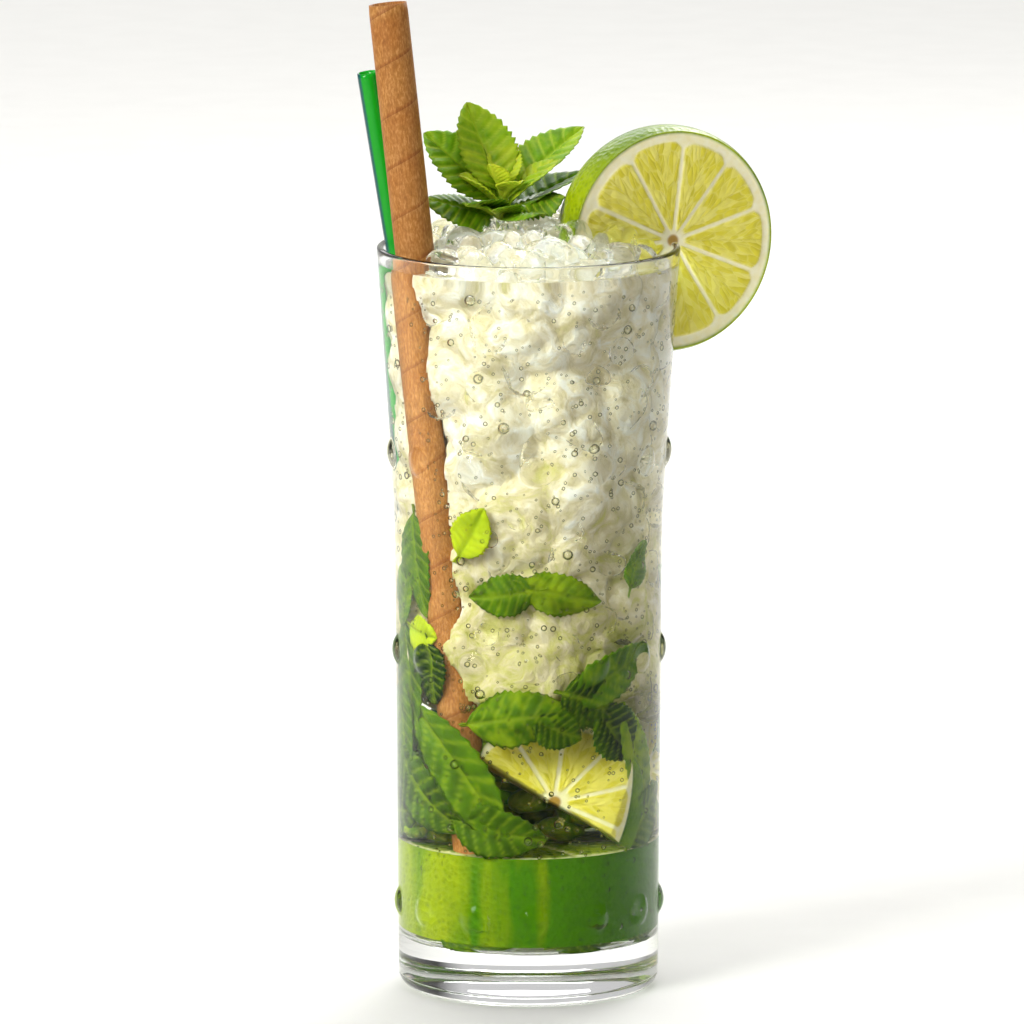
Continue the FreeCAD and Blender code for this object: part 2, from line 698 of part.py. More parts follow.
def main():
    glass = make_glass()
    filling = plug_body("Filling", NARROWER, FLOOR, HEIGHT, HEIGHT + plain(MARGIN))
    round_edges(filling, "FillingCorner", [(NARROWER[0], FLOOR)], cell("floor_round"))
    blank = plug_body("WallOutside", WIDER, NOTHING, HEIGHT + GAP)
    hollow = plug_body("WallInside", NARROWER, NOTHING - plain(1), HEIGHT, HEIGHT + plain(MARGIN))
    wall_room = cut("WallRoom", blank, hollow)

    paper, plastic = Straw("paper"), Straw("plastic")
    paper_straw, plastic_straw = paper.make("paper_straw"), plastic.make("plastic_straw")
    wheel = make_wheel(wall_room)
    sprig = make_sprig()

    rooms = gather("Rooms", [paper.room(), plastic.room(), wheel_room(), sprig_room()])
    below = cylinder("BelowLevel", cell("rim_radius") + plain(MARGIN), LEVEL, Placement())
    drink = cut("Drink", meet("Liquid", filling, below), rooms)
    drink.Label = "drink"
    ice = cut("Ice", cut("HeapAbove", meet("HeapInGlass", make_heap(), filling), below), rooms)
    ice.Label = "crushed_ice"
    doc.recompute()

    for thing in doc.Objects:
        if "Invalid" in thing.State or "Error" in thing.State:
            raise RuntimeError(f"{thing.Name} failed: {thing.State}")
    nodes = [glass, drink, ice, paper_straw, plastic_straw, wheel, sprig]
    for node in nodes:
        shape = node.Shape
        if shape.isNull() or not shape.isValid():
            raise RuntimeError(f"{node.Label} has no valid shape")
        print(node.Label, len(shape.Solids), "solid,", round(shape.Volume / 1000, 2), "cm3", shape.BoundBox)
    os.makedirs("parts", exist_ok=True)
    for node in nodes:
        node.Shape.exportStep(f"parts/{node.Label}.step")


main()
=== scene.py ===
# %% [markdown]
# # A mojito in a tall glass
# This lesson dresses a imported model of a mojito: a studded glass, the drink with its ice,
# mint and lime, two straws, a lime wheel on the rim and a sprig of mint.
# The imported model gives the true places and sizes. Each piece below is a mesh made in code,
# in millimetres, and rides on the model's one body.

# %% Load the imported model
import math

import bmesh
import bpy
import numpy as np
from mathutils import Matrix, Vector


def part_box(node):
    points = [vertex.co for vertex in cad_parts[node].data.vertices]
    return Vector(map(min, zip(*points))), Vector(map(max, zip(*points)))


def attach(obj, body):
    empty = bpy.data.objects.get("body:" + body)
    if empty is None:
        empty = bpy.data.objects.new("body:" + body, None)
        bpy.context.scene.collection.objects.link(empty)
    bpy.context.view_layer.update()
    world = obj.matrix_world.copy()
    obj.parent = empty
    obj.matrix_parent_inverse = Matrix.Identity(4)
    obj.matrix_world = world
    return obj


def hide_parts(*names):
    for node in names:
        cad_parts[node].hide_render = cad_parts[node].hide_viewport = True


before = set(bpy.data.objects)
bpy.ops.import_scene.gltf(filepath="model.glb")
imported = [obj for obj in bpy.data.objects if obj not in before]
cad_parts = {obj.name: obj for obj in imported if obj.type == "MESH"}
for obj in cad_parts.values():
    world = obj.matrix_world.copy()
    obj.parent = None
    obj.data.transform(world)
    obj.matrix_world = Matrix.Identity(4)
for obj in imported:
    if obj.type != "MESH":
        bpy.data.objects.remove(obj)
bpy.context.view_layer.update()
chance = np.random.default_rng(20)
MM = 0.001
GOLDEN = 137.508  # degrees: steps of this size spread things evenly round a circle

# %% [markdown]
# ## Colours and nodes
# Colours are picked as sRGB hex values, the way a paint chart gives them, but a shader works
# on linear light, so one function turns them. A second small function adds a node with its
# settings and links. Both keep the recipes below short enough to read as recipes.

# %% Helpers for finishes


COLOURS = {"data_type": "RGBA"}
TINT = {"data_type": "RGBA", "blend_type": "MULTIPLY"}
MULTIPLY_ADD = {"operation": "MULTIPLY_ADD"}


def linear(chart):
    """Linear light from an sRGB hex value."""
    parts = [int(chart[i : i + 2], 16) / 255 for i in (1, 3, 5)]
    return [c / 12.92 if c <= 0.04045 else ((c + 0.055) / 1.055) ** 2.4 for c in parts] + [1.0]


def add(tree, kind, settings=(), into=None, **links):
    """Adds a node. settings are its properties; links set sockets by name, or by number as _0.
    Its first output goes into the socket given as into."""
    node = tree.nodes.new("ShaderNode" + kind)
    for name, value in dict(settings).items():
        if name == "stops":
            while len(node.color_ramp.elements) < len(value):
                node.color_ramp.elements.new(0.5)
            for element, (place, colour) in zip(node.color_ramp.elements, value):
                element.position, element.color = place, linear(colour)
        else:
            setattr(node, name, value)
    for name, value in links.items():
        key = int(name[1:]) if name[0] == "_" else name.replace("_", " ")
        socket = node.inputs[key]
        if isinstance(value, bpy.types.NodeSocket):
            tree.links.new(value, socket)
        else:
            socket.default_value = linear(value) if isinstance(value, str) else value
    if into is not None:
        tree.links.new(node.outputs[0], into)
    return node


def finish(name, **sockets):
    """A material with one Principled shader. Gives it, its node tree, the shader and the place on the piece."""
    made = bpy.data.materials.new(name)
    made.use_nodes = True
    tree = made.node_tree
    shader = tree.nodes["Principled BSDF"]
    for key, value in sockets.items():
        socket = shader.inputs[key.replace("_", " ")]
        socket.default_value = linear(value) if isinstance(value, str) else value
    return made, tree, shader, add(tree, "TexCoord").outputs["Object"]


def let_light_through(tree, shader, share="#ffffff"):
    """Clear things throw almost no shadow: a shadow ray meets a see-through shader instead."""
    shadow = add(tree, "LightPath").outputs["Is Shadow Ray"]
    clear = add(tree, "BsdfTransparent", Color=share)
    mix = add(tree, "MixShader", _0=shadow, _1=shader.outputs[0], _2=clear.outputs[0])
    tree.links.new(mix.outputs[0], tree.nodes["Material Output"].inputs["Surface"])


# %% [markdown]
# ## Meshes from numbers
# Turned and swept shapes are grids: rows of points joined by four-cornered faces. One helper
# joins a grid, another turns points into a finished piece, and a third turns a profile round
# the glass's axis. Modelling by hand would give the same forms, but code keeps them to size.

# %% Helpers for meshes


def grid(rows, columns, closed=False, start=0):
    """Faces between rows of points; closed joins the last column to the first."""
    r = np.arange(rows - 1)[:, None] * columns + start
    c = np.arange(columns if closed else columns - 1)[None, :]
    n = (c + 1) % columns
    return np.stack([r + c, r + n, r + n + columns, r + c + columns], -1).reshape(-1, 4).tolist()


def make_piece(name, points, faces, finishes, stands_for=None, place=None, fields=(), weld=0.0):
    """A finished piece from points in mm. fields are numbers kept with each point; weld joins close points."""
    mesh = bpy.data.meshes.new(name)
    mesh.from_pydata((np.asarray(points, float) * MM).tolist(), [], faces)
    for field, values in dict(fields).items():
        values = np.asarray(values, np.float32)
        kind = "FLOAT" if values.ndim == 1 else "FLOAT_VECTOR"
        layer = mesh.attributes.new(field, kind, "POINT")
        layer.data.foreach_set("value" if values.ndim == 1 else "vector", values.ravel())
    work = bmesh.new()
    work.from_mesh(mesh)
    if weld:
        bmesh.ops.remove_doubles(work, verts=work.verts, dist=weld * MM)
        bmesh.ops.dissolve_degenerate(work, edges=work.edges, dist=1e-7)
    bmesh.ops.recalc_face_normals(work, faces=work.faces)
    work.to_mesh(mesh)
    work.free()
    mesh.polygons.foreach_set("use_smooth", [True] * len(mesh.polygons))
    piece = bpy.data.objects.new(name, mesh)
    bpy.context.scene.collection.objects.link(piece)
    piece.matrix_world = place or Matrix.Identity(4)
    mesh.materials.append(finishes)
    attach(piece, "root")
    if stands_for:
        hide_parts(stands_for)
    print(name, len(mesh.polygons), "faces")
    return piece


def turned(profile, columns):
    """Points of a profile of (radius, height) turned round the axis, with the faces."""
    turn = np.arange(columns) * 2 * math.pi / columns
    profile = np.asarray(profile)
    points = np.stack(
        [
            profile[:, :1] * np.cos(turn),
            profile[:, :1] * np.sin(turn),
            np.repeat(profile[:, 1:], columns, 1),
        ],
        -1,
    )
    return points, grid(len(profile), columns, True)


def arc(centre, radius, start, stop, steps):
    """Points of a round corner in a profile, between two angles in degrees."""
    turns = np.radians(np.linspace(start, stop, steps))
    return [(centre[0] + radius * math.cos(t), centre[1] + radius * math.sin(t)) for t in turns]


def smooth(low, high, value):
    """Rises from 0 at low to 1 at high with soft ends."""
    share = np.clip((value - low) / (high - low), 0, 1)
    return share * share * (3 - 2 * share)


# %% [markdown]
# ## The glass
# The tumbler is soda-lime glass, pressed in a mould and fire-polished: clear, very slightly
# uneven, with three rings of half-round studs and a thick base. It could be a cylinder with
# spheres joined on, but seams between them would catch the light. Here one profile is turned
# with many columns, and the outer wall swells smoothly where each stud stands.

# %% Glass sizes, mm
GLASS_HEIGHT, RIM_RADIUS, RIM_WALL, LIP = 156.5, 31.6, 1.5, 0.6
WAIST_HEIGHT, WAIST_RADIUS, WAIST_BEND = 100.0, 27.95, 250.0
FOOT_RADIUS, HEEL, BODY_WALL, BASE, FLOOR_ROUND = 27.2, 3.2, 2.0, 11.0, 3.0
PUNT_RADIUS, PUNT_DEPTH = 19.0, 1.2
STUD_COUNT, STUD_WIDTH, STUD_PROUD, STUD_TURN = 13, 6.5, 1.1, -90 + 2.9
STUD_RINGS = (18.5, 72.0, 113.5)
LEVEL = 153.0


def wall_line(height, foot, waist, rim):
    """Radius of a wall at a height: two straight runs joined by a wide bend."""
    low = (waist - foot) / WAIST_HEIGHT
    high = (rim - waist) / (GLASS_HEIGHT - WAIST_HEIGHT)
    reach = WAIST_BEND * (high - low) / 2
    over = np.asarray(height, float) - WAIST_HEIGHT
    bend = np.clip(over + reach, 0, 2 * reach) ** 2 / (2 * WAIST_BEND)
    return waist + low * over + bend + (high - low) * np.maximum(over - reach, 0)


def outside(height):
    """Radius of the outer wall at a height, without its studs."""
    return wall_line(height, FOOT_RADIUS, WAIST_RADIUS, RIM_RADIUS)


def inside(height):
    """Radius of the inner wall at a height."""
    return wall_line(height, FOOT_RADIUS - BODY_WALL, WAIST_RADIUS - BODY_WALL, RIM_RADIUS - RIM_WALL)


def stud_lift(turn, height, radius):
    """How far the outer wall swells at a place: caps of balls, spaced evenly round each ring."""
    half = STUD_WIDTH / 2
    ball = (half**2 + STUD_PROUD**2) / (2 * STUD_PROUD)
    step = 2 * math.pi / STUD_COUNT
    across = ((turn - math.radians(STUD_TURN) + step / 2) % step - step / 2) * radius
    lift = np.zeros(np.broadcast(turn, height).shape)
    for ring in STUD_RINGS:
        cap = np.sqrt(np.maximum(ball**2 - across**2 - (height - ring) ** 2, 0)) - ball + STUD_PROUD
        lift = np.maximum(lift, (cap + np.sqrt(cap**2 + 0.02)) / 2 - 0.02)
    return np.maximum(lift, 0)


# %% Glass mesh
punt_ball = (PUNT_RADIUS**2 + PUNT_DEPTH**2) / (2 * PUNT_DEPTH)
punt = [(r, PUNT_DEPTH - punt_ball + math.sqrt(punt_ball**2 - r * r)) for r in np.linspace(0, PUNT_RADIUS, 9)]
heel = arc((FOOT_RADIUS - HEEL, HEEL), HEEL, -90, 0, 10)
rows = sorted(
    set(np.round(np.arange(HEEL + 1, GLASS_HEIGHT - 1, 2.6), 2))
    | {round(ring + step * 0.34, 2) for ring in STUD_RINGS for step in range(-13, 14)}
)
side = [(float(outside(z)), z) for z in rows]
top = GLASS_HEIGHT - LIP
lip = arc((RIM_RADIUS - LIP, top), LIP, 0, 90, 6) + arc((RIM_RADIUS - RIM_WALL + LIP, top), LIP, 90, 180, 6)
inner = [(float(inside(z)), z) for z in np.arange(GLASS_HEIGHT - 2.5, BASE + FLOOR_ROUND + 1, -3.0)]
corner = arc((float(inside(BASE)) - FLOOR_ROUND, BASE + FLOOR_ROUND), FLOOR_ROUND, 0, -90, 8)
floor_in = [(r, BASE) for r in (18, 12, 6, 0)]
profile = punt + [(FOOT_RADIUS - HEEL - 2, 0)] + heel + side + lip + inner + corner + floor_in
COLUMNS = 312
points, faces = turned(profile, COLUMNS)
turn = np.arange(COLUMNS) * 2 * math.pi / COLUMNS
low, high = len(punt) + 1 + len(heel), len(punt) + 1 + len(heel) + len(side)
height = points[low:high, :, 2]
lift = stud_lift(turn[None, :], height, outside(height))
waver = 0.02 * np.sin(3 * turn + height / 23) + 0.015 * np.sin(7 * turn - height / 11)
for axis, spread in ((0, np.cos(turn)), (1, np.sin(turn))):
    points[low:high, :, axis] += (lift + np.minimum(waver, 0)) * spread
glass_points, glass_faces = points.reshape(-1, 3), faces
print("stud stands proud by", round(float(lift.max()), 2), "mm")

# %% [markdown]
# ### Pressed soda-lime glass
# Soda-lime glass has an IOR of 1.52 and almost no colour at this thickness. Fire-polishing
# leaves it smooth, so roughness is nil; a faint, wide unevenness from the mould bends what is
# seen through it. Shadow rays pass, as real glass passes most light. The outer wall's mirror is
# toned down, as the pale floor would veil the drink. Where the wall is wet, the drink takes away
# nearly all of its mirror, so the inner wall below the level is a second, darker-tinted finish.

# %% Glass finish and piece
soda_glass, tree, shader, place = finish(
    "pressed_soda_lime_glass", Base_Color="#ffffff", Roughness=0.0, IOR=1.52, Transmission_Weight=1.0,
    Specular_Tint="#707070",
)
mould = add(tree, "TexNoise", Vector=place, Scale=90.0, Detail=1.0)  # waves of about 11 mm
add(tree, "Bump", into=shader.inputs["Normal"], Height=mould.outputs[0], Strength=0.25, Distance=0.0002)
let_light_through(tree, shader, "#f8fbf8")
wet_glass, tree, shader, place = finish(
    "wetted_soda_lime_glass", Base_Color="#ffffff", Roughness=0.0, IOR=1.52, Transmission_Weight=1.0,
    Specular_Tint="#101010",
)
let_light_through(tree, shader, "#f8fbf8")
piece = make_piece("tall_glass", glass_points, glass_faces, soda_glass, "glass", weld=0.001)
piece.data.materials.append(wet_glass)
for face in piece.data.polygons:
    where = face.center / MM
    if BASE - 0.1 < where.z < LEVEL and math.hypot(where.x, where.y) < float(inside(where.z)) + 0.3:
        face.material_index = 1

# %% [markdown]
# ## The drink
# Rum, lime juice, sugar and soda: nearly water, with the faint yellow-green of lime and mint.
# A liquid that only touched the glass would leave an air gap that mirrors light, so its
# surface reaches a quarter of a millimetre into the wall, where the two media meet cleanly.

# %% Drink finish and piece
SOAK = 0.25
mojito, tree, shader, place = finish(
    "clear_lime_soda", Base_Color="#ffffff", Roughness=0.0, IOR=1.333, Transmission_Weight=1.0,
    Specular_Tint="#080808",
)
swirl = add(tree, "TexNoise", Vector=place, Scale=55.0, Detail=1.0)
add(tree, "Bump", into=shader.inputs["Normal"], Height=swirl.outputs[0], Strength=0.1, Distance=0.0002)
let_light_through(tree, shader, "#fdfff6")
juice = add(tree, "VolumeAbsorption", Color="#f1ecb6", Density=6.0)
tree.links.new(juice.outputs[0], tree.nodes["Material Output"].inputs["Volume"])
liquid = [(r, BASE - SOAK) for r in (0, 10, 18)]
liquid += arc((float(inside(BASE)) - FLOOR_ROUND, BASE + FLOOR_ROUND), FLOOR_ROUND + SOAK, -90, 0, 8)
liquid += [(float(inside(z)) + SOAK, z) for z in np.arange(16, LEVEL - 1, 3.0)]
edge = float(inside(LEVEL))
liquid += [(edge + SOAK, LEVEL + 0.3), (edge - 0.4, LEVEL + 0.1), (edge - 1.2, LEVEL - 0.1)]
liquid += [(r, LEVEL - 0.15) for r in (24, 16, 8, 0)]
points, faces = turned(liquid, 180)
make_piece("mojito_drink", points.reshape(-1, 3), faces, mojito, "drink", weld=0.001)

# %% [markdown]
# ## Where the straws run
# Both straws stand on the floor of the glass and lean on its rim. Ice, mint and lime must
# keep clear of them, so their axes come first, worked out from the model's own boxes.

# %% Straw axes, mm
PAPER_RADIUS, PAPER_WALL, PAPER_LENGTH = 4.05, 0.45, 198.0
PLASTIC_RADIUS, PLASTIC_WALL, PLASTIC_LENGTH = 2.1, 0.3, 184.0


def axis_of(node, radius, length):
    """The axis of a leaning tube, from the box round it: it leans away from the glass's middle."""
    small, large = (np.array(v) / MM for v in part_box(node))
    size = large - small
    lean = np.array([0.1, 0.1])
    for _ in range(60):  # settles at once: the width of a tube's end depends on the lean itself
        lean = (size[:2] - 2 * radius * np.sqrt(1 - lean**2)) / length
    up = math.sqrt(1 - (lean**2).sum())
    along = np.array([-lean[0], lean[1], up])
    if node == "plastic_straw":
        along[1] = -lean[1]
    middle = (small + large) / 2
    return middle - along * length / 2, along


paper_foot, paper_run = axis_of("paper_straw", PAPER_RADIUS, PAPER_LENGTH)
plastic_foot, plastic_run = axis_of("plastic_straw", PLASTIC_RADIUS, PLASTIC_LENGTH)
print("paper straw from", paper_foot.round(2), "along", paper_run.round(4))
print("plastic straw from", plastic_foot.round(2), "along", plastic_run.round(4))


def clear_of_straws(points):
    """Distance in mm from each point to the nearer straw's surface."""
    points = np.atleast_2d(points)
    gaps = []
    for foot, run, radius in ((paper_foot, paper_run, PAPER_RADIUS), (plastic_foot, plastic_run, PLASTIC_RADIUS)):
        away = points - foot
        along = away @ run
        gaps.append(np.linalg.norm(away - along[:, None] * run, axis=1) - radius)
    return np.minimum(*gaps)


def stand(foot, run):
    """The placement of a straw whose own axis is Z."""
    turn = Vector((0, 0, 1)).rotation_difference(Vector(run))
    return Matrix.Translation(Vector(foot * MM)) @ turn.to_matrix().to_4x4()


def tube(radius, wall, length, columns, step, ease):
    """A drinking straw: out along the outside, over the lip and back down the bore."""
    heights = np.arange(ease, length - ease + 0.01, step)
    shape = [(radius - ease, 0)] + [(radius, z) for z in heights] + [(radius - ease, length)]
    shape += [(radius - wall + ease, length)] + [(radius - wall, z) for z in heights[::-1]]
    shape += [(radius - wall + ease, 0), (radius - ease, 0)]
    return turned(shape, columns)


# %% [markdown]
# ## The wide paper straw
# Kraft paper is wound round a rod in a slanting strip and glued, so a seam climbs the straw
# like a screw thread, here about every 10 mm. The seam could be cut into the mesh, but it is
# only a tenth of a millimetre high, so it is drawn from the angle round the axis plus the
# height along it, and the same pattern lifts the surface as a bump.

# %% Kraft paper finish and piece
kraft, tree, shader, place = finish("wound_kraft_paper", Roughness=0.55, Specular_IOR_Level=0.3)
parts = add(tree, "SeparateXYZ", _0=place).outputs
turn = add(tree, "Math", {"operation": "ARCTAN2"}, _0=parts["Y"], _1=parts["X"]).outputs[0]
turns = add(tree, "Math", {"operation": "DIVIDE"}, _0=turn, _1=2 * math.pi).outputs[0]
climb = add(tree, "Math", {"operation": "DIVIDE"}, _0=parts["Z"], _1=0.0105).outputs[0]  # one strip, 10.5 mm
both = add(tree, "Math", {"operation": "SUBTRACT"}, _0=climb, _1=turns).outputs[0]
strip = add(tree, "Math", {"operation": "FRACT"}, _0=both).outputs[0]
fibre_place = add(tree, "Mapping", Vector=place, Scale=(1.0, 1.0, 0.35))
fibre = add(tree, "TexNoise", Vector=fibre_place.outputs[0], Scale=2600.0, Detail=4.0, Roughness=0.65)
cloud = add(tree, "TexNoise", Vector=place, Scale=160.0, Detail=2.0)
tone = add(
    tree, "ValToRGB", {"stops": [(0.25, "#935f2a"), (0.5, "#b67d3d"), (0.75, "#dba766")]}, Fac=fibre.outputs[0]
)
wash = add(tree, "ValToRGB", {"stops": [(0.3, "#e6cfae"), (0.7, "#ffffff")]}, Fac=cloud.outputs[0])
seam = add(
    tree, "ValToRGB",
    {"stops": [(0.0, "#b0875a"), (0.05, "#d8b98f"), (0.1, "#ffffff"), (0.88, "#f4e6cc"), (1.0, "#ffffff")]},
    Fac=strip,
)
paint = add(tree, "Mix", TINT, _0=0.7, _6=tone.outputs[0], _7=wash.outputs[0])
paint = add(tree, "Mix", TINT, _0=0.6, _6=paint.outputs[2], _7=seam.outputs[0])
tree.links.new(paint.outputs[2], shader.inputs["Base Color"])
step_up = add(
    tree, "ValToRGB", {"stops": [(0.0, "#303030"), (0.03, "#808080"), (0.9, "#808080"), (1.0, "#ffffff")]}, Fac=strip
)
rise = add(tree, "Math", MULTIPLY_ADD, _0=fibre.outputs[0], _1=0.25, _2=step_up.outputs[0])
add(tree, "Bump", into=shader.inputs["Normal"], Height=rise.outputs[0], Strength=0.6, Distance=0.00022)
points, faces = tube(PAPER_RADIUS, PAPER_WALL, PAPER_LENGTH, 64, 2.0, 0.12)
make_piece(
    "wide_paper_straw", points.reshape(-1, 3), faces, kraft, "paper_straw",
    place=stand(paper_foot, paper_run), weld=0.001,
)

# %% [markdown]
# ## The thin plastic straw
# Polypropylene, extruded and tinted: glossy from the die, and light glows a little through
# its wall. A dark lengthwise band is painted down one side: painted shade, for the dark edge
# the straw shows on its left. It is drawn by the angle round the axis, which is steadier than painting faces.

# %% Tinted polypropylene finish and piece
polypropylene, tree, shader, place = finish(
    "tinted_polypropylene", Roughness=0.22, IOR=1.49, Transmission_Weight=0.1, Specular_IOR_Level=0.3
)
parts = add(tree, "SeparateXYZ", _0=place).outputs
turn = add(tree, "Math", {"operation": "ARCTAN2"}, _0=parts["Y"], _1=parts["X"]).outputs[0]
share = add(tree, "Math", MULTIPLY_ADD, _0=turn, _1=1 / (2 * math.pi), _2=0.5).outputs[0]
flow = add(tree, "TexNoise", Vector=add(tree, "Mapping", Vector=place, Scale=(1, 1, 0.03)).outputs[0], Scale=1500.0)
share = add(tree, "Math", MULTIPLY_ADD, _0=flow.outputs[0], _1=0.012, _2=share).outputs[0]
# painted shade: a dark band down the straw's left side, for the dark edge it shows there
painted_dark_edge = add(
    tree, "ValToRGB",
    {"stops": [
        (0.0, "#0d4e52"), (0.12, "#0d5a55"), (0.16, "#06a81c"), (0.5, "#10c02a"), (0.93, "#08a81e"), (0.97, "#0d4e52"),
    ]},
    Fac=share,
)
tree.links.new(painted_dark_edge.outputs[0], shader.inputs["Base Color"])
add(tree, "Bump", into=shader.inputs["Normal"], Height=flow.outputs[0], Strength=0.15, Distance=0.0001)
points, faces = tube(PLASTIC_RADIUS, PLASTIC_WALL, PLASTIC_LENGTH, 48, 3.0, 0.08)
make_piece(
    "thin_plastic_straw", points.reshape(-1, 3), faces, polypropylene, "plastic_straw",
    place=stand(plastic_foot, plastic_run), weld=0.001,
)

# %% [markdown]
# ## Lumps of crushed ice
# Crushed ice is broken into blunt, many-sided lumps whose edges melt round at once. A sphere
# cut by flat planes, blended so that no edge is sharp, gives exactly that, and a new set of
# planes gives a new lump. The planes are chosen at random from a fixed seed.

# %% A lump of ice


def ball_mesh(level):
    work = bmesh.new()
    bmesh.ops.create_icosphere(work, subdivisions=level, radius=1.0)
    work.verts.ensure_lookup_table()
    points = np.array([v.co[:] for v in work.verts])
    faces = np.array([[v.index for v in f.verts] for f in work.faces])
    work.free()
    return points, faces


BALL = {level: ball_mesh(level) for level in (1, 2, 3)}


def ice_lump(radius, planes, sharpness, level):
    """Points of one lump: how far a ray runs before it meets the nearest of some planes."""
    rays = BALL[level][0]
    normals = chance.normal(size=(planes, 3))
    normals /= np.linalg.norm(normals, axis=1)[:, None]
    depth = chance.uniform(0.72, 1.0, planes)
    reach = (np.maximum(rays @ normals.T, 1e-3) / depth) ** sharpness
    length = np.minimum(reach.sum(1) ** (-1 / sharpness), 1.15)
    return rays * (length * radius)[:, None] * chance.uniform(0.82, 1.15, 3)


def gather(lumps, level):
    """Joins lumps of one ball mesh into one set of points and faces."""
    faces = BALL[level][1]
    count = len(BALL[level][0])
    return np.concatenate(lumps), np.concatenate([faces + i * count for i in range(len(lumps))]).tolist()


# %% [markdown]
# ## Ice in the drink
# Down in the drink the crushed ice has packed into one cloudy mass, full of cracks and trapped
# air, that reads as soft white planes, greener lower down. Hundreds of separate cloudy lumps
# would show hard dark joints, so the mass is one surface: each lump adds a tilted, slightly
# domed plane, and the highest plane wins, which gives blunt facets that meet in shallow
# valleys. It keeps back from the straws, which then lie in grooves.

# %% Cloudy ice finish
cloudy_ice, tree, shader, place = finish(
    "cloudy_crushed_ice", Roughness=0.2, IOR=1.31, Specular_IOR_Level=0.2, Subsurface_Weight=0.5,
    Subsurface_Scale=0.003,
)
shader.inputs["Subsurface Radius"].default_value = (1.0, 1.0, 0.85)
parts = add(tree, "SeparateXYZ", _0=place).outputs
depth = add(tree, "MapRange", Value=parts["Z"], From_Min=0.058, From_Max=0.12, To_Min=0.0, To_Max=0.5).outputs[0]
crack = add(tree, "TexNoise", Vector=place, Scale=190.0, Detail=6.0, Roughness=0.6, Distortion=1.2)
mixed = add(tree, "Math", MULTIPLY_ADD, _0=crack.outputs[0], _1=1.9, _2=-0.72).outputs[0]
mixed = add(tree, "Math", {"operation": "ADD", "use_clamp": True}, _0=mixed, _1=depth).outputs[0]
add(
    tree, "ValToRGB",
    {"stops": [(0.0, "#aaa94c"), (0.22, "#c8c378"), (0.5, "#dacfa6"), (0.72, "#ede4ca"), (1.0, "#fdfaf0")]},
    shader.inputs["Base Color"], Fac=mixed,
)
fine = add(tree, "TexNoise", Vector=place, Scale=620.0, Detail=3.0, Distortion=0.6)
rough = add(tree, "Math", MULTIPLY_ADD, _0=fine.outputs[0], _1=0.35, _2=crack.outputs[0]).outputs[0]
add(tree, "Bump", into=shader.inputs["Normal"], Height=rough, Strength=0.8, Distance=0.0016)

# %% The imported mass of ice


def facet_field(across, up, girth, low, high, count, slope, dome, drop):
    """Highest of many tilted, domed planes over a sheet that closes on itself across."""
    seeds = np.stack([chance.uniform(0, girth, count), chance.uniform(low, high, count)], 1)
    tilt = chance.normal(0, slope, (count, 2))
    base = -chance.uniform(0, drop, count)
    best = np.full(across.shape, -99.0)
    for (x, y), (tx, ty), h in zip(seeds, tilt, base):
        dx = (across - x + girth / 2) % girth - girth / 2
        dy = up - y
        best = np.maximum(best, h + tx * dx + ty * dy - dome * (dx * dx + dy * dy))
    return best


ICE_LOW, ICE_HIGH = 58.0, LEVEL - 0.6
ICE_ROWS, ICE_COLUMNS = 178, 330
GIRTH, UNROLLED = 50 * math.pi, 25.0  # the sheet is laid flat as if its radius were 25 mm
LUMPS, CHIPS = 330, 1500
turn = np.arange(ICE_COLUMNS) * 2 * math.pi / ICE_COLUMNS
z = np.concatenate([[ICE_LOW] * 3, np.linspace(ICE_LOW, ICE_HIGH, ICE_ROWS), [ICE_HIGH] * 3])[:, None] + 0 * turn
across = turn[None, :] * UNROLLED + 0 * z
relief = facet_field(across, z, GIRTH, ICE_LOW - 4, ICE_HIGH + 4, LUMPS, 0.24, 0.045, 1.6)
relief = relief + 0.5 * facet_field(across, z, GIRTH, ICE_LOW - 3, ICE_HIGH + 3, CHIPS, 0.25, 0.12, 0.7)
relief -= np.percentile(relief, 99)
radius = inside(z) - 1.0 + np.minimum(relief, 0)
radius -= 9.0 * (1 - smooth(ICE_LOW, ICE_LOW + 7, z + 2.2 * np.sin(3 * turn + 1) + 1.5 * np.sin(7 * turn)))
for _ in range(40):  # sinks the sheet in small steps until it clears the straws
    here = np.stack([radius * np.cos(turn), radius * np.sin(turn), z], -1)
    gap = clear_of_straws(here.reshape(-1, 3)).reshape(radius.shape)
    radius = np.where(gap < 0.9, radius - 0.4, radius)
radius[:3] *= np.array([[0.0], [0.5], [0.85]])
radius[-3:] *= np.array([[0.97], [0.6], [0.0]])
points = np.stack([radius * np.cos(turn), radius * np.sin(turn), z], -1)
make_piece("ice_in_drink", points.reshape(-1, 3), grid(len(z), len(turn), True), cloudy_ice, None, weld=0.001)

# %% [markdown]
# ### Clear lumps against the glass
# In front of the cloudy mass lie clearer lumps. Pure ice almost vanishes in water; these show
# because cracks and melt water bend light more, so their IOR within the drink is set a little
# above one.

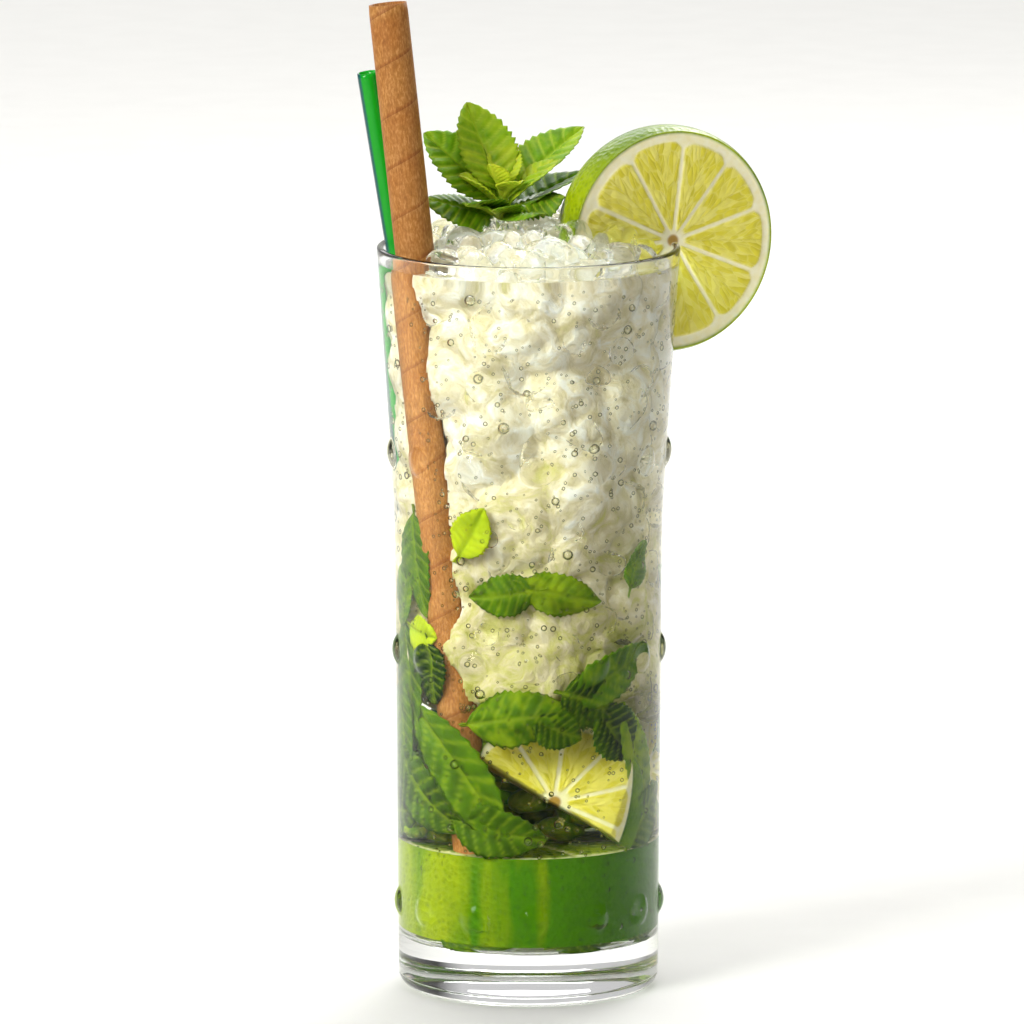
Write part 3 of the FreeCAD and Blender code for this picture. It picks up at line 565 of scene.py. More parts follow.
# %% Clear lumps
soaked_ice, tree, shader, place = finish(
    "clear_ice_in_soda", Base_Color="#ffffff", Roughness=0.0, IOR=1.13, Transmission_Weight=1.0
)
melt = add(tree, "TexNoise", Vector=place, Scale=260.0, Detail=3.0, Distortion=0.5)
add(tree, "Bump", into=shader.inputs["Normal"], Height=melt.outputs[0], Strength=0.6, Distance=0.0008)
let_light_through(tree, shader)
lumps = []
CLEAR_LUMPS, CLEAR_LOW, CLEAR_SPAN = 150, 62, 88
for i in range(CLEAR_LUMPS):
    z = CLEAR_LOW + CLEAR_SPAN * (i + 0.5) / CLEAR_LUMPS
    turn = math.radians(i * GOLDEN + chance.uniform(-8, 8))
    radius = chance.uniform(2.0, 5.6)
    reach = float(inside(z)) - 0.5 - radius * 0.55
    centre = np.array([reach * math.cos(turn), reach * math.sin(turn), z])
    if clear_of_straws(centre)[0] < radius + 0.4:
        continue
    lump = ice_lump(radius, 10, 14.0, 3) + centre
    spread = np.hypot(lump[:, 0], lump[:, 1])
    lump[:, :2] *= np.minimum(1, (inside(lump[:, 2]) - 0.45) / spread)[:, None]
    lump[:, 2] = np.minimum(lump[:, 2], LEVEL - 0.7)
    lumps.append(lump)
points, faces = gather(lumps, 3)
make_piece("clear_lumps_in_drink", points, faces, soaked_ice, None)

# %% [markdown]
# ## Ice heaped on top
# Above the drink the lumps are wet and clear, like glass beads with bright rims: water ice has
# an IOR of 1.31. They lie on a small pale core, so that the heap is not hollow, and keep
# clear of the straws.

# %% Clear ice finish and heap
clear_ice, tree, shader, place = finish(
    "clear_wet_ice", Base_Color="#ffffff", Roughness=0.02, IOR=1.31, Transmission_Weight=1.0
)
melt = add(tree, "TexNoise", Vector=place, Scale=420.0, Detail=2.0)
add(tree, "Bump", into=shader.inputs["Normal"], Height=melt.outputs[0], Strength=0.35, Distance=0.0006)
let_light_through(tree, shader, "#f2f5f2")
lumps = []
TOP_LUMPS, HEAP_TOP = 92, 163.4
for i in range(TOP_LUMPS):
    share = math.sqrt((i + 0.5) / TOP_LUMPS)
    turn = math.radians(i * GOLDEN + 40)
    radius = chance.uniform(2.5, 4.7)
    reach = share * (28.6 - radius)
    z = 155.6 + 6.6 * (1 - share**2.2) - radius * chance.uniform(0.4, 1.1)
    centre = np.array([reach * math.cos(turn), reach * math.sin(turn), z])
    if clear_of_straws(centre)[0] < radius * 0.9:
        continue
    lump = ice_lump(radius, 11, 9.0, 3) + centre
    lump[:, 2] = np.minimum(lump[:, 2], HEAP_TOP)
    lumps.append(lump)
points, faces = gather(lumps, 3)
make_piece("ice_on_top", points, faces, clear_ice, "crushed_ice")
heap_core = [(0, 158.5), (6, 158.2), (12, 157), (18, 155), (23, 152.6), (24, 150), (20, 149), (0, 149)]
points, faces = turned(heap_core, 60)
points[..., 2] += 0.9 * np.sin(points[..., 0] * 1.3) * np.cos(points[..., 1] * 1.1)
gap = clear_of_straws(points.reshape(-1, 3)).reshape(points.shape[:2])
points[..., :2] *= np.where(gap < 1.0, 0.7, 1.0)[..., None]
make_piece("heap_core", points.reshape(-1, 3), faces, cloudy_ice, None, weld=0.001)

# %% [markdown]
# ## Mint leaves
# A mint leaf is a toothed oval with a sunken midrib and side veins that run forward to the
# edge; between the veins the blade puffs up like a quilt. The leaf is a grid: the outline
# gives its width, teeth cut the edge, and the quilting lifts it. Where the veins lie is kept
# with the mesh, so that the finish can tint them.

# %% One leaf


def leaf(length, width, droop=0.1, fold=0.2, wave=0.3, rows=60, columns=25, veins=8, stalk=2.0):
    """Gives along, across and up in mm for a grid of points, and how near each is to a vein."""
    s = np.linspace(0, 1, rows)[:, None]
    t = np.linspace(-1, 1, columns)[None, :]
    blade = np.clip((s * length - stalk) / (length - stalk), 0, 1)
    half = width / 2 * blade**0.6 * (1 - blade) ** 0.8 / 0.385
    half = np.maximum(half, 0.45 * (1 - blade))
    tooth = (blade * veins * 1.6) % 1.0
    edge = np.abs(t) ** 5
    half = half * (1 + edge * (0.16 * (tooth - 0.55)) * (blade > 0.03))
    across = t * half
    slant = blade * veins - np.abs(t) * 1.15
    near = np.abs((slant + 0.5) % 1.0 - 0.5)
    side_vein = np.exp(-((near / 0.10) ** 2)) * (np.abs(t) < 0.97)
    mid_vein = np.exp(-((np.abs(across) / 0.45) ** 2))
    puff = np.sqrt(np.clip(near * 2, 0, 1)) * (1 - np.abs(t) ** 6) * smooth(0.0, 0.18, np.abs(t))
    puff = puff * smooth(0, 0.12, blade) * (1 - 0.6 * blade)
    up = 0.065 * width * puff + fold * np.abs(across) - droop * length * s**2 - 0.35 * mid_vein
    up = up + wave * np.sin(s * 9 + t * 2.2) * np.abs(t) ** 2
    along = s * length + 0 * t
    return np.stack([along, across, up], -1), np.maximum(side_vein * 0.8, mid_vein * (1 - 0.5 * s))


def with_back(points, thickness=0.28):
    """Doubles a leaf's grid into a thin closed blade. Gives points and faces."""
    rows, columns = points.shape[:2]
    slope_s = np.gradient(points, axis=0)
    slope_t = np.gradient(points, axis=1)
    normal = np.cross(slope_s, slope_t)
    normal /= np.linalg.norm(normal, axis=-1, keepdims=True) + 1e-9
    rim = np.zeros((rows, columns, 1))
    rim[1:-1, 1:-1] = 1
    back = points - normal * thickness * rim
    count = rows * columns
    return np.concatenate([points.reshape(-1, 3), back.reshape(-1, 3)]), grid(rows, columns) + [
        face[::-1] for face in grid(rows, columns, start=count)
    ]


def join(batches):
    """Joins several (points, faces, veins, tone) into one mesh's worth."""
    points, faces, veins, tones, start = [], [], [], [], 0
    for some_points, some_faces, vein, tone in batches:
        points.append(some_points)
        faces += [[index + start for index in face] for face in some_faces]
        veins.append(vein)
        tones.append(np.full(len(some_points), tone))
        start += len(some_points)
    return np.concatenate(points), faces, {"vein": np.concatenate(veins), "tone": np.concatenate(tones)}


# %% [markdown]
# ### The skin of a leaf
# Spearmint is a waxy mid green, with paler yellow-green veins, and light comes through the
# blade. A colour ramp follows the veins and each leaf's tone, noise breaks it up, and a thin
# share of translucency is done by subsurface light, which a bake can keep. The deep end of the
# ramp is painted shade, for the hollows and the leaves that lie lower. A wet leaf in the drink
# hardly shines, because water and leaf bend light alike, so it has its own finish.

# %% Mint finish


def mint_finish(name, deep, middle, bright, vein_tone, gloss):
    made, tree, shader, place = finish(
        name, Roughness=0.4, IOR=1.45, Specular_IOR_Level=gloss, Subsurface_Weight=0.25, Subsurface_Scale=0.0012
    )
    shader.inputs["Subsurface Radius"].default_value = (0.6, 1.0, 0.2)
    veins = add(tree, "Attribute", {"attribute_name": "vein"}).outputs["Fac"]
    tones = add(tree, "Attribute", {"attribute_name": "tone"}).outputs["Fac"]
    mottle = add(tree, "TexNoise", Vector=place, Scale=260.0, Detail=5.0, Roughness=0.62)
    patch = add(tree, "Math", MULTIPLY_ADD, _0=mottle.outputs[0], _1=0.9, _2=-0.45).outputs[0]
    tones = add(tree, "Math", {"operation": "ADD", "use_clamp": True}, _0=tones, _1=patch).outputs[0]
    # painted shade: the deep end of this ramp darkens low tones as if shaded
    base = add(tree, "ValToRGB", {"stops": [(0.0, deep), (0.45, middle), (1.0, bright)]}, Fac=tones)
    pale = add(tree, "Math", {"operation": "MULTIPLY"}, _0=veins, _1=0.7).outputs[0]
    skin = add(tree, "Mix", COLOURS, _0=pale, _6=base.outputs[0], _7=vein_tone)
    tree.links.new(skin.outputs[2], shader.inputs["Base Color"])
    fine = add(tree, "TexNoise", Vector=place, Scale=1500.0, Detail=3.0)
    add(tree, "Bump", into=shader.inputs["Normal"], Height=fine.outputs[0], Strength=0.3, Distance=0.0003)
    return made


fresh_mint = mint_finish("spearmint_leaf_fresh", "#103003", "#73a00b", "#d3e033", "#c8d642", 0.25)
wet_mint = mint_finish("spearmint_leaf_soaked", "#0a2602", "#4c7006", "#b3c41c", "#8ea61f", 0.03)

# %% [markdown]
# ## The sprig on top
# The garnish is the tip of a shoot: three long leaves stand up, small ones fill the heart and
# broad ones lie on the ice. Each leaf's direction, rise and roll place its grid round the
# stem's top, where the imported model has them.

# %% Sprig
STEM_TOP = np.array([-5.3, 3.0, 167.0])
STEM_RADIUS, STEM_LOW = 1.3, 144.6
# tone is lower for leaves set deeper below the top: partly the leaf's own tone, partly painted shade on the lower
# leaves
SPRIG = (  # below the top, turn, rise, roll, length, width, droop, fold, tone
    (1.0, 135, 61, -25, 22.0, 12.5, 0.02, 0.35, 0.60), (1.5, 35, 37, 15, 25.0, 12.0, 0.06, 0.35, 0.52),
    (2.5, 165, 42, -40, 22.5, 13.5, 0.04, 0.30, 0.42), (0.5, 82, 62, 0, 13.0, 7.5, 0.05, 0.40, 0.85),
    (0.5, 232, 62, 0, 8.5, 5.5, 0.05, 0.50, 0.95), (1.0, 300, 48, 0, 8.0, 6.5, 0.30, 0.30, 0.80),
    (3.0, 205, 46, -20, 12.0, 9.0, 0.15, 0.30, 0.70), (5.5, 30, 29, 0, 22.0, 12.5, 0.10, 0.25, 0.25),
    (4.0, 352, 27, 20, 13.0, 13.5, 0.22, -0.25, 0.30), (6.0, 196, 27, -25, 17.0, 14.0, 0.18, -0.20, 0.32),
    (6.5, 256, 36, 0, 10.5, 10.5, 0.20, 0.35, 0.35), (3.0, 12, 44, 10, 16.0, 9.0, 0.10, 0.30, 0.65),
    (4.0, 150, 38, 0, 17.0, 11.0, 0.10, 0.30, 0.30), (5.0, 228, 30, 10, 12.5, 11.0, 0.20, 0.20, 0.28),
    (5.5, 318, 24, 0, 11.5, 11.0, 0.22, -0.20, 0.35), (2.0, 108, 50, 0, 15.0, 9.0, 0.10, 0.30, 0.55),
)
batches = []
for below, turn, rise, roll, length, width, droop, fold, tone in SPRIG:
    turn, rise, roll = (math.radians(v) for v in (turn, rise, roll))
    along = np.array([math.cos(turn) * math.cos(rise), math.sin(turn) * math.cos(rise), math.sin(rise)])
    side = np.array([-math.sin(turn), math.cos(turn), 0])
    upper = np.cross(along, side)
    side, upper = side * math.cos(roll) + upper * math.sin(roll), upper * math.cos(roll) - side * math.sin(roll)
    shape, vein = leaf(length, width, droop, fold, wave=0.25 if length > 10 else 0.1)
    shape = (STEM_TOP - [0, 0, below]) + shape[..., :1] * along + shape[..., 1:2] * side + shape[..., 2:] * upper
    points, faces = with_back(shape)
    batches.append((points, faces, np.tile(vein.ravel(), 2), tone))
stem_rows = [(0.0, STEM_LOW), (STEM_RADIUS * 0.85, STEM_LOW)]
stem_rows += [(STEM_RADIUS * (0.85 + 0.12 * math.sin(z)), z) for z in np.arange(146, 166, 1.5)]
stem_rows += [(STEM_RADIUS * 0.7, 166.3), (0.0, 167.0)]
points, faces = turned(stem_rows, 24)
points = points.reshape(-1, 3) + STEM_TOP * [1, 1, 0]
batches.append((points, faces, np.full(len(points), 0.3), 0.6))
points, faces, fields = join(batches)
make_piece("mint_garnish", points, faces, fresh_mint, "mint_sprig", fields=fields, weld=0.002)

# %% [markdown]
# ## Mint in the drink
# Loose leaves are pressed against the glass from within. Each is the same grid, bent round
# the wall: along and across become an angle and a height, and up becomes depth. The list
# gives where each lies; the ones at the back are guessed, so that the drink looks full from
# every side.

# %% Leaves bent round the wall
SUNK = (  # turn deg, height, heading deg, length, width, depth, fold, tone: bent round at that depth
    (-118, 99.0, 60, 14, 9, 0.7, 0.2, 0.95), (-100, 87.0, 190, 17, 9, 0.9, -0.2, 0.40),
    (-76, 87.0, -14, 20, 9, 1.0, -0.25, 0.55), (-32, 91.0, 62, 13, 7, 0.8, 0.1, 0.45),
    (-48, 69.0, 24, 27, 10, 0.8, 0.15, 0.42), (-153, 92.0, -80, 24, 11, 0.7, 0.2, 0.35),
    (-150, 77.0, -10, 11, 8, 0.5, 0.1, 1.0), (-142, 70.0, -80, 15, 10, 0.5, 0.2, 0.03),
    (-160, 66.0, -84, 30, 12, 0.7, 0.3, 0.30), (-124, 49.0, -50, 40, 13, 0.5, 0.35, 0.40),
    (-62, 64.5, -24, 15, 13, 0.7, -0.2, 0.10), (-96, 61.0, 8, 25, 12, 1.0, -0.3, 0.50),
    (-78, 59.0, -28, 14, 9, 1.2, 0.2, 0.20), (-46, 57.0, -50, 17, 12, 0.9, 0.3, 0.08),
    (-30, 50.0, -74, 28, 9, 0.7, 0.2, 0.62), (-150, 43.0, -35, 28, 13, 0.8, 0.2, 0.22),
    (-108, 37.0, -12, 24, 11, 1.0, 0.25, 0.28), (-22, 38.0, 40, 20, 11, 0.8, 0.2, 0.35),
    (20, 84.0, -30, 26, 12, 0.7, 0.2, 0.4), (62, 72.0, 20, 28, 13, 0.7, -0.2, 0.3),
    (110, 90.0, -15, 25, 11, 0.7, 0.25, 0.45), (150, 66.0, 35, 28, 13, 0.7, 0.2, 0.25),
    (85, 50.0, -40, 30, 13, 0.7, 0.3, 0.35), (15, 56.0, 30, 26, 12, 0.7, 0.2, 0.4),
    (130, 44.0, -10, 26, 13, 0.8, -0.2, 0.2), (45, 104.0, 50, 16, 9, 0.7, 0.2, 0.6),
    (172, 50.0, -60, 28, 13, 0.7, 0.2, 0.3), (35, 40.0, 10, 26, 12, 0.8, 0.2, 0.25),
    (100, 38.0, 12, 24, 12, 0.8, 0.2, 0.35), (178, 37.0, 8, 26, 12, 0.9, 0.2, 0.18),
    (-168, 56.0, -82, 24, 12, 0.6, 0.2, 0.35), (-165, 84.0, 80, 18, 9, 0.7, 0.2, 0.45),
    (-60, 13.6, 8, 20, 7, 1.0, 0.2, 0.25), (-120, 13.4, -4, 22, 7, 1.2, 0.2, 0.4),
    (-20, 13.8, 3, 18, 7, 1.0, 0.1, 0.3),
    (70, 13.6, 2, 24, 7, 1.0, 0.2, 0.3),
)


def bend_round(shape, turn, height, heading, depth):
    """Bends a leaf's grid round the inside of the wall, its upper side towards the glass."""
    heading = math.radians(heading)
    middle = shape[..., 0].max() / 2
    a, b, up = shape[..., 0] - middle, shape[..., 1], shape[..., 2]
    x = a * math.cos(heading) - b * math.sin(heading)
    z = height + a * math.sin(heading) + b * math.cos(heading)
    z = np.maximum(z, BASE + 0.4)
    limit = inside(z) - 0.35
    radius = np.minimum(limit, limit - depth + (up - up.mean()))
    angle = math.radians(turn) + x / limit
    return np.stack([radius * np.cos(angle), radius * np.sin(angle), z], -1)


batches = []
for turn, height, heading, length, width, depth, fold, tone in SUNK:
    shape, vein = leaf(length, width, 0.03, fold, wave=chance.uniform(0.4, 1.2), rows=40, columns=17)
    shape[..., 1] += chance.uniform(-0.3, 0.3) * length * (shape[..., 0] / length - 0.5) ** 2  # a bowed midrib
    points, faces = with_back(bend_round(shape, turn, height, heading, depth), 0.3)
    batches.append((points, faces, np.tile(vein.ravel(), 2), tone))
points, faces, fields = join(batches)
make_piece("mint_in_drink", points, faces, wet_mint, None, fields=fields, weld=0.002)

# %% [markdown]
# ## Cut lime
# A lime slice is a wheel of wedges: juicy flesh in thin pale skins, a ring of white pith and a
# green, pitted rind. Its face is a polar grid. For each point the nearest skin between wedges
# is found, which gives the relief and tells the finish where flesh, pith and rind are.
# Within a wedge the juice sacs are long drops that point to the middle, so their pattern is
# laid out by distance along and across the wedge and not by plain x and y.

# %% A slice of lime


def lime_slice(radius, thickness, skins, pith, columns, start=0.0, stop=360.0, slit=None, bulge=0.6):
    """Points, faces and fields of a slice between two cut faces, from start to stop degrees."""
    around = np.radians(np.linspace(start, stop, columns))
    half = thickness / 2
    flat = np.concatenate([[0.02, 0.5, 1.0, 1.5], np.arange(1.9, radius - 0.35, 0.36), [radius - 0.18]])
    rows = [(r, half) for r in flat]
    for z in np.linspace(half, -half, 15):
        rows.append((radius + bulge * (1 - (z / half) ** 2) - 0.25 * abs(z / half) ** 8, z * 0.985))
    rows += [(r, -half) for r in flat[::-1]]
    r = np.array([row[0] for row in rows])[:, None] + 0 * around
    z = np.array([row[1] for row in rows])[:, None] + 0 * around
    angle = around[None, :] + 0 * r
    if slit:
        width = slit * smooth(2.2, 4.5, r)
        push = np.arcsin(np.clip(width / np.maximum(r, 1), 0, 0.9))
        share = (around - around[0]) / (around[-1] - around[0])
        angle = angle + push * (1 - 2 * share[None, :]) * np.abs(1 - 2 * share[None, :]) ** 8
    skins = np.radians(np.sort(np.asarray(skins, float)))
    away = angle[..., None] - skins
    away = (away + math.pi) % (2 * math.pi) - math.pi
    nearest = np.abs(away).argmin(-1)
    signed = np.take_along_axis(away, nearest[..., None], -1)[..., 0]
    lateral = np.abs(r * np.sin(signed))
    wedge = np.where(signed > 0, nearest, (nearest - 1) % len(skins))
    flesh_edge = radius - pith - 1.3 * np.exp(-((lateral / 1.3) ** 2)) + 0.25 * np.sin(wedge * 2.1)
    core = 2.1 + 0.5 * np.sin(wedge * 1.7)
    flesh = smooth(0.18, 0.62, lateral) * smooth(flesh_edge, flesh_edge - 0.6, r) * smooth(core, core + 0.9, r)
    on_face = np.abs(z) > half * 0.97
    flesh = flesh * on_face
    rind = np.maximum(smooth(radius - 1.0, radius - 0.45, r), ~on_face)
    puff = flesh * (0.22 + 0.12 * np.sin(wedge * 3.3) + 0.10 * np.sin(r * 1.9 + wedge) * np.sin(signed * 26))
    z = z + np.sign(z) * (puff - 0.12) * on_face * smooth(radius, radius - 1.5, r)
    x, y = r * np.cos(angle), r * np.sin(angle)
    points = np.stack([x, y, z], -1)
    core_mark = smooth(1.6, 0.9, r) * on_face
    sacs = np.stack([r * signed * 0.9, r * 0.30, wedge * 5.0 + np.sign(z) * 40], -1)
    fields = {
        "flesh": flesh.ravel(), "rind": np.asarray(rind, float).ravel(), "core": core_mark.ravel(),
        "sacs": sacs.reshape(-1, 3),
    }
    return points, grid(len(rows), columns), fields, len(rows)


def close_cut(points, faces, row_count):
    """Closes the two straight cut sides of a slice, front face to back face, ring by ring."""
    columns = points.shape[1]
    ids = np.arange(row_count * columns).reshape(row_count, columns)
    for column, flip in ((0, False), (columns - 1, True)):
        for i in range(row_count // 2 - 1):
            a, b = ids[i, column], ids[i + 1, column]
            c, d = ids[row_count - 2 - i, column], ids[row_count - 1 - i, column]
            face = [int(a), int(b), int(c), int(d)]
            faces.append(face[::-1] if flip else face)
    return faces


# %% [markdown]
# ### Lime finish
# Flesh is watery and lit from within, so it has subsurface light and a wet coat; the sacs are
# a stretched cell pattern that shifts the tone and lifts the surface. Pith is matt and cream.
# Rind is waxy, with oil glands about 1 mm apart, and runs from yellow-green to deep green.
# gloss is full for a dry cut and nearly nil in the drink; the last number paints light on one
# side of the peel and shade on the other, with streaks along it.

# %% Fresh lime finish


def lime_finish(name, flesh_low, flesh_mid, flesh_high, pith_tone, rind_low, rind_high, gloss, painted_light_tilt=0.0):
    made, tree, shader, place = finish(
        name, Roughness=0.3, IOR=1.37, Specular_IOR_Level=gloss * 0.7, Subsurface_Weight=0.35, Subsurface_Scale=0.002,
        Coat_Weight=0.4 * gloss, Coat_Roughness=0.12,
    )
    shader.inputs["Subsurface Radius"].default_value = (1.0, 0.9, 0.35)
    flesh = add(tree, "Attribute", {"attribute_name": "flesh"}).outputs["Fac"]
    rind = add(tree, "Attribute", {"attribute_name": "rind"}).outputs["Fac"]
    core = add(tree, "Attribute", {"attribute_name": "core"}).outputs["Fac"]
    sacs = add(tree, "Attribute", {"attribute_name": "sacs"}).outputs["Vector"]
    warp = add(tree, "TexNoise", Vector=place, Scale=300.0, Detail=2.0)
    moved = add(tree, "VectorMath", MULTIPLY_ADD, _0=warp.outputs["Color"], _1=(0.7, 0.6, 0.0), _2=sacs)
    cells = add(tree, "TexVoronoi", {"feature": "F1"}, Vector=moved.outputs[0], Scale=1.0)
    edges = add(tree, "TexVoronoi", {"feature": "DISTANCE_TO_EDGE"}, Vector=moved.outputs[0], Scale=1.0)
    each = add(tree, "SeparateXYZ", _0=cells.outputs["Color"]).outputs["X"]
    juice = add(tree, "ValToRGB", {"stops": [(0.0, flesh_low), (0.5, flesh_mid), (1.0, flesh_high)]}, Fac=each)
    thin = edges.outputs["Distance"]
    skin = add(tree, "MapRange", Value=thin, From_Min=0.0, From_Max=0.12, To_Min=0.45, To_Max=0.0).outputs[0]
    pulp = add(tree, "Mix", COLOURS, _0=skin, _6=juice.outputs[0], _7=flesh_high)
    cream = add(tree, "TexNoise", Vector=place, Scale=700.0, Detail=3.0)
    pith = add(tree, "ValToRGB", {"stops": [(0.3, pith_tone), (0.8, "#fbf7dc")]}, Fac=cream.outputs[0])
    face = add(tree, "Mix", COLOURS, _0=flesh, _6=pith.outputs[0], _7=pulp.outputs[2])
    glands = add(tree, "TexVoronoi", Vector=place, Scale=850.0)  # oil glands, about 1.2 mm apart
    streak = add(tree, "Mapping", Vector=place, Scale=(1.0, 1.0, 0.12 if painted_light_tilt else 1.0))
    wash = add(tree, "TexNoise", Vector=streak.outputs[0], Scale=150.0 if painted_light_tilt else 40.0, Detail=3.0)
    aside = add(tree, "SeparateXYZ", _0=place).outputs["X"]  # painted light and shade: the peel is lighter on one side along x and darker on the other
    wash = add(tree, "Math", MULTIPLY_ADD, _0=aside, _1=-painted_light_tilt, _2=wash.outputs[0]).outputs[0]
    wash = add(tree, "Math", {"operation": "SUBTRACT"}, _0=wash, _1=0.17 if painted_light_tilt else 0.0).outputs[0]
    peel = add(tree, "ValToRGB", {"stops": [(0.35, rind_low), (0.65, rind_high)]}, Fac=wash)
    dots = add(tree, "ValToRGB", {"stops": [(0.0, "#b9c98c"), (0.45, "#ffffff")]}, Fac=glands.outputs["Distance"])
    peel = add(tree, "Mix", TINT, _0=0.8, _6=peel.outputs[0], _7=dots.outputs[0])
    whole = add(tree, "Mix", COLOURS, _0=rind, _6=face.outputs[2], _7=peel.outputs[2])
    whole = add(tree, "Mix", COLOURS, _0=core, _6=whole.outputs[2], _7="#b08a3a")
    tree.links.new(whole.outputs[2], shader.inputs["Base Color"])
    wet = add(tree, "Math", {"operation": "MULTIPLY"}, _0=edges.outputs["Distance"], _1=flesh).outputs[0]
    pits = add(tree, "Math", {"operation": "MULTIPLY"}, _0=glands.outputs["Distance"], _1=rind).outputs[0]
    height = add(tree, "Math", MULTIPLY_ADD, _0=wet, _1=1.2, _2=pits).outputs[0]
    add(tree, "Bump", into=shader.inputs["Normal"], Height=height, Strength=0.55, Distance=0.0005)
    return made


fresh_lime = lime_finish(
    "cut_lime_fresh", "#d9cd34", "#e4d944", "#efe678", "#f3ebba", "#38690a", "#a3b80e", 0.5
)

# %% [markdown]
# ## The lime wheel on the rim
# The wheel is slit from its middle to its edge and pushed onto the rim, so the glass wall
# stands in the slit. The polar grid starts at one side of the slit and ends at the other, and
# the slit leans with the wall, whose place at each height and depth is worked out.

# %% Lime wheel
WHEEL_RADIUS, WHEEL_THICKNESS, WHEEL_TURN, WHEEL_SEAT = 23.2, 8.4, 26.0, 17.5
WHEEL_RISE, WHEEL_INSET, RIND_BULGE, PITH = 0.2, 1.2, 0.6, 2.3
WHEEL_SKINS = (83, 51, 16, -22, -58, -97, -137, -177, 155, 119)
reach = RIM_RADIUS - RIM_WALL / 2 - WHEEL_INSET
wheel_middle = np.array([
    reach * math.cos(math.radians(WHEEL_SEAT)), reach * math.sin(math.radians(WHEEL_SEAT)), GLASS_HEIGHT + WHEEL_RISE
])
across = np.array([math.cos(math.radians(WHEEL_TURN)), math.sin(math.radians(WHEEL_TURN)), 0])
facing = np.array([across[1], -across[0], 0])
points, faces, fields, row_count = lime_slice(
    WHEEL_RADIUS, WHEEL_THICKNESS, WHEEL_SKINS, PITH, 400, -90.0, 270.0, slit=RIM_WALL / 2 + 0.45, bulge=RIND_BULGE
)
level = np.clip(wheel_middle[2] + points[..., 1], 0, GLASS_HEIGHT)
wall = outside(level) - (RIM_WALL + (GLASS_HEIGHT - level) * 0.009) / 2
base_x = wheel_middle[0] + facing[0] * points[..., 2]
base_y = wheel_middle[1] + facing[1] * points[..., 2]
along = base_x * across[0] + base_y * across[1]
shift = -along + np.sqrt(along**2 - (base_x**2 + base_y**2 - wall**2))
near = np.exp(-((points[..., 0] / 3.6) ** 2)) * smooth(-0.3, -2.6, points[..., 1])
points[..., 0] += shift * near
faces = close_cut(points, faces, row_count)
basis = Matrix((
    (across[0], 0, facing[0], wheel_middle[0] * MM), (across[1], 0, facing[1], wheel_middle[1] * MM),
    (0, 1, 0, wheel_middle[2] * MM), (0, 0, 0, 1),
))
make_piece(
    "lime_wheel_on_rim", points.reshape(-1, 3), faces, fresh_lime, "lime_wheel", place=basis,
    fields=fields, weld=0.002,
)

# %% [markdown]
# ## Lime in the drink
# A thick slice lies flat on the floor with its peel against the glass, and wedges lean on the
# wall above it. They are the same slice with other sizes. Their finishes hardly shine, because
# they lie in the drink, and the slab's peel has painted light on one side and painted shade on the other.

# %% Lime slab, wedges
soaked_lime = lime_finish(
    "cut_lime_soaked", "#d8cd3c", "#e4d94c", "#f0e674", "#f4ecaa", "#3d6f08", "#8fae14", 0.05
)
# the last number paints light on one side of the slab's peel and shade on the other
slab_lime = lime_finish(
    "cut_lime_slab", "#4f7008", "#6f8c0e", "#98a824", "#b0b84a", "#457a04", "#92a40c", 0.05, painted_light_tilt=13.0
)
even = [i * 36 + 7 for i in range(10)]
SLAB_LOW, SLAB_HIGH = 12.6, 31.4
slab_radius = float(inside(20)) - 0.75
points, faces, fields, row_count = lime_slice(slab_radius, SLAB_HIGH - SLAB_LOW, even, 2.2, 300, bulge=0.35)
lie = Matrix.Translation((0, 0, (SLAB_LOW + SLAB_HIGH) / 2 * MM))
make_piece("lime_slab", points.reshape(-1, 3), faces, slab_lime, None, place=lie, fields=fields, weld=0.002)


def lean(middle, face_turn, face_rise, spin):
    """A placement whose own Z looks outwards along a turn and rise, spun about that line."""
    turn, rise = math.radians(face_turn), math.radians(face_rise)
    out = Vector((math.cos(turn) * math.cos(rise), math.sin(turn) * math.cos(rise), math.sin(rise)))
    side = Vector((-math.sin(turn), math.cos(turn), 0))
    up = out.cross(side)
    basis = Matrix((side, up, out)).transposed().to_4x4()
    return Matrix.Translation(Vector(middle) * MM) @ basis @ Matrix.Rotation(math.radians(spin), 4, "Z")


def keep_inside(points, place):
    """Presses flat whatever would reach past the inner wall."""
    turn, shift = np.array(place.to_3x3()), np.array(place.translation) / MM
    there = points @ turn.T + shift
    reach = np.hypot(there[..., 0], there[..., 1])
    there[..., :2] *= np.minimum(1, (inside(there[..., 2]) - 0.4) / reach)[..., None]
    for _ in range(3):  # and pushes aside whatever would reach into a straw
        for foot, run, radius in ((paper_foot, paper_run, PAPER_RADIUS), (plastic_foot, plastic_run, PLASTIC_RADIUS)):
            away = there - foot
            away = away - (away @ run)[..., None] * run
            gap = np.linalg.norm(away, axis=-1, keepdims=True)
            there = there + away / np.maximum(gap, 0.01) * np.maximum(radius + 0.3 - gap, 0)
    return (there - shift) @ turn


WEDGES = (  # name, middle, turn, rise, spin, radius, thickness, from, to
    ("lime_wedge_front", (4.6, -15.2, 41.8), -84, 17, -33, 18.2, 6.0, 0, 178),
    ("lime_wedge_right", (15.0, 3.0, 46.0), -15, 8, -75, 14.0, 8.0, 0, 150),
    ("lime_wedge_back", (3.0, 13.0, 45.0), 85, 20, -15, 18.0, 9.0, 0, 175),
)
for name, middle, turn, rise, spin, radius, thick, start, stop in WEDGES:
    points, faces, fields, row_count = lime_slice(radius, thick, even, 2.0, 180, start, stop, bulge=0.5)
    faces = close_cut(points, faces, row_count)
    place = lean(middle, turn, rise, spin)
    points = keep_inside(points, place)
    make_piece(
        name, points.reshape(-1, 3), faces, soaked_lime, None, place=place, fields=fields, weld=0.002
    )

# %% [markdown]
# ## Muddled pulp
# Between the slab and the ice lie shreds of muddled lime and mint in syrup. They are soft
# lumps of the same blunt kind as the ice, squashed flat, in an olive green finish with
# juicy streaks, and they fill the drink there, away from the front wedge and the straws.

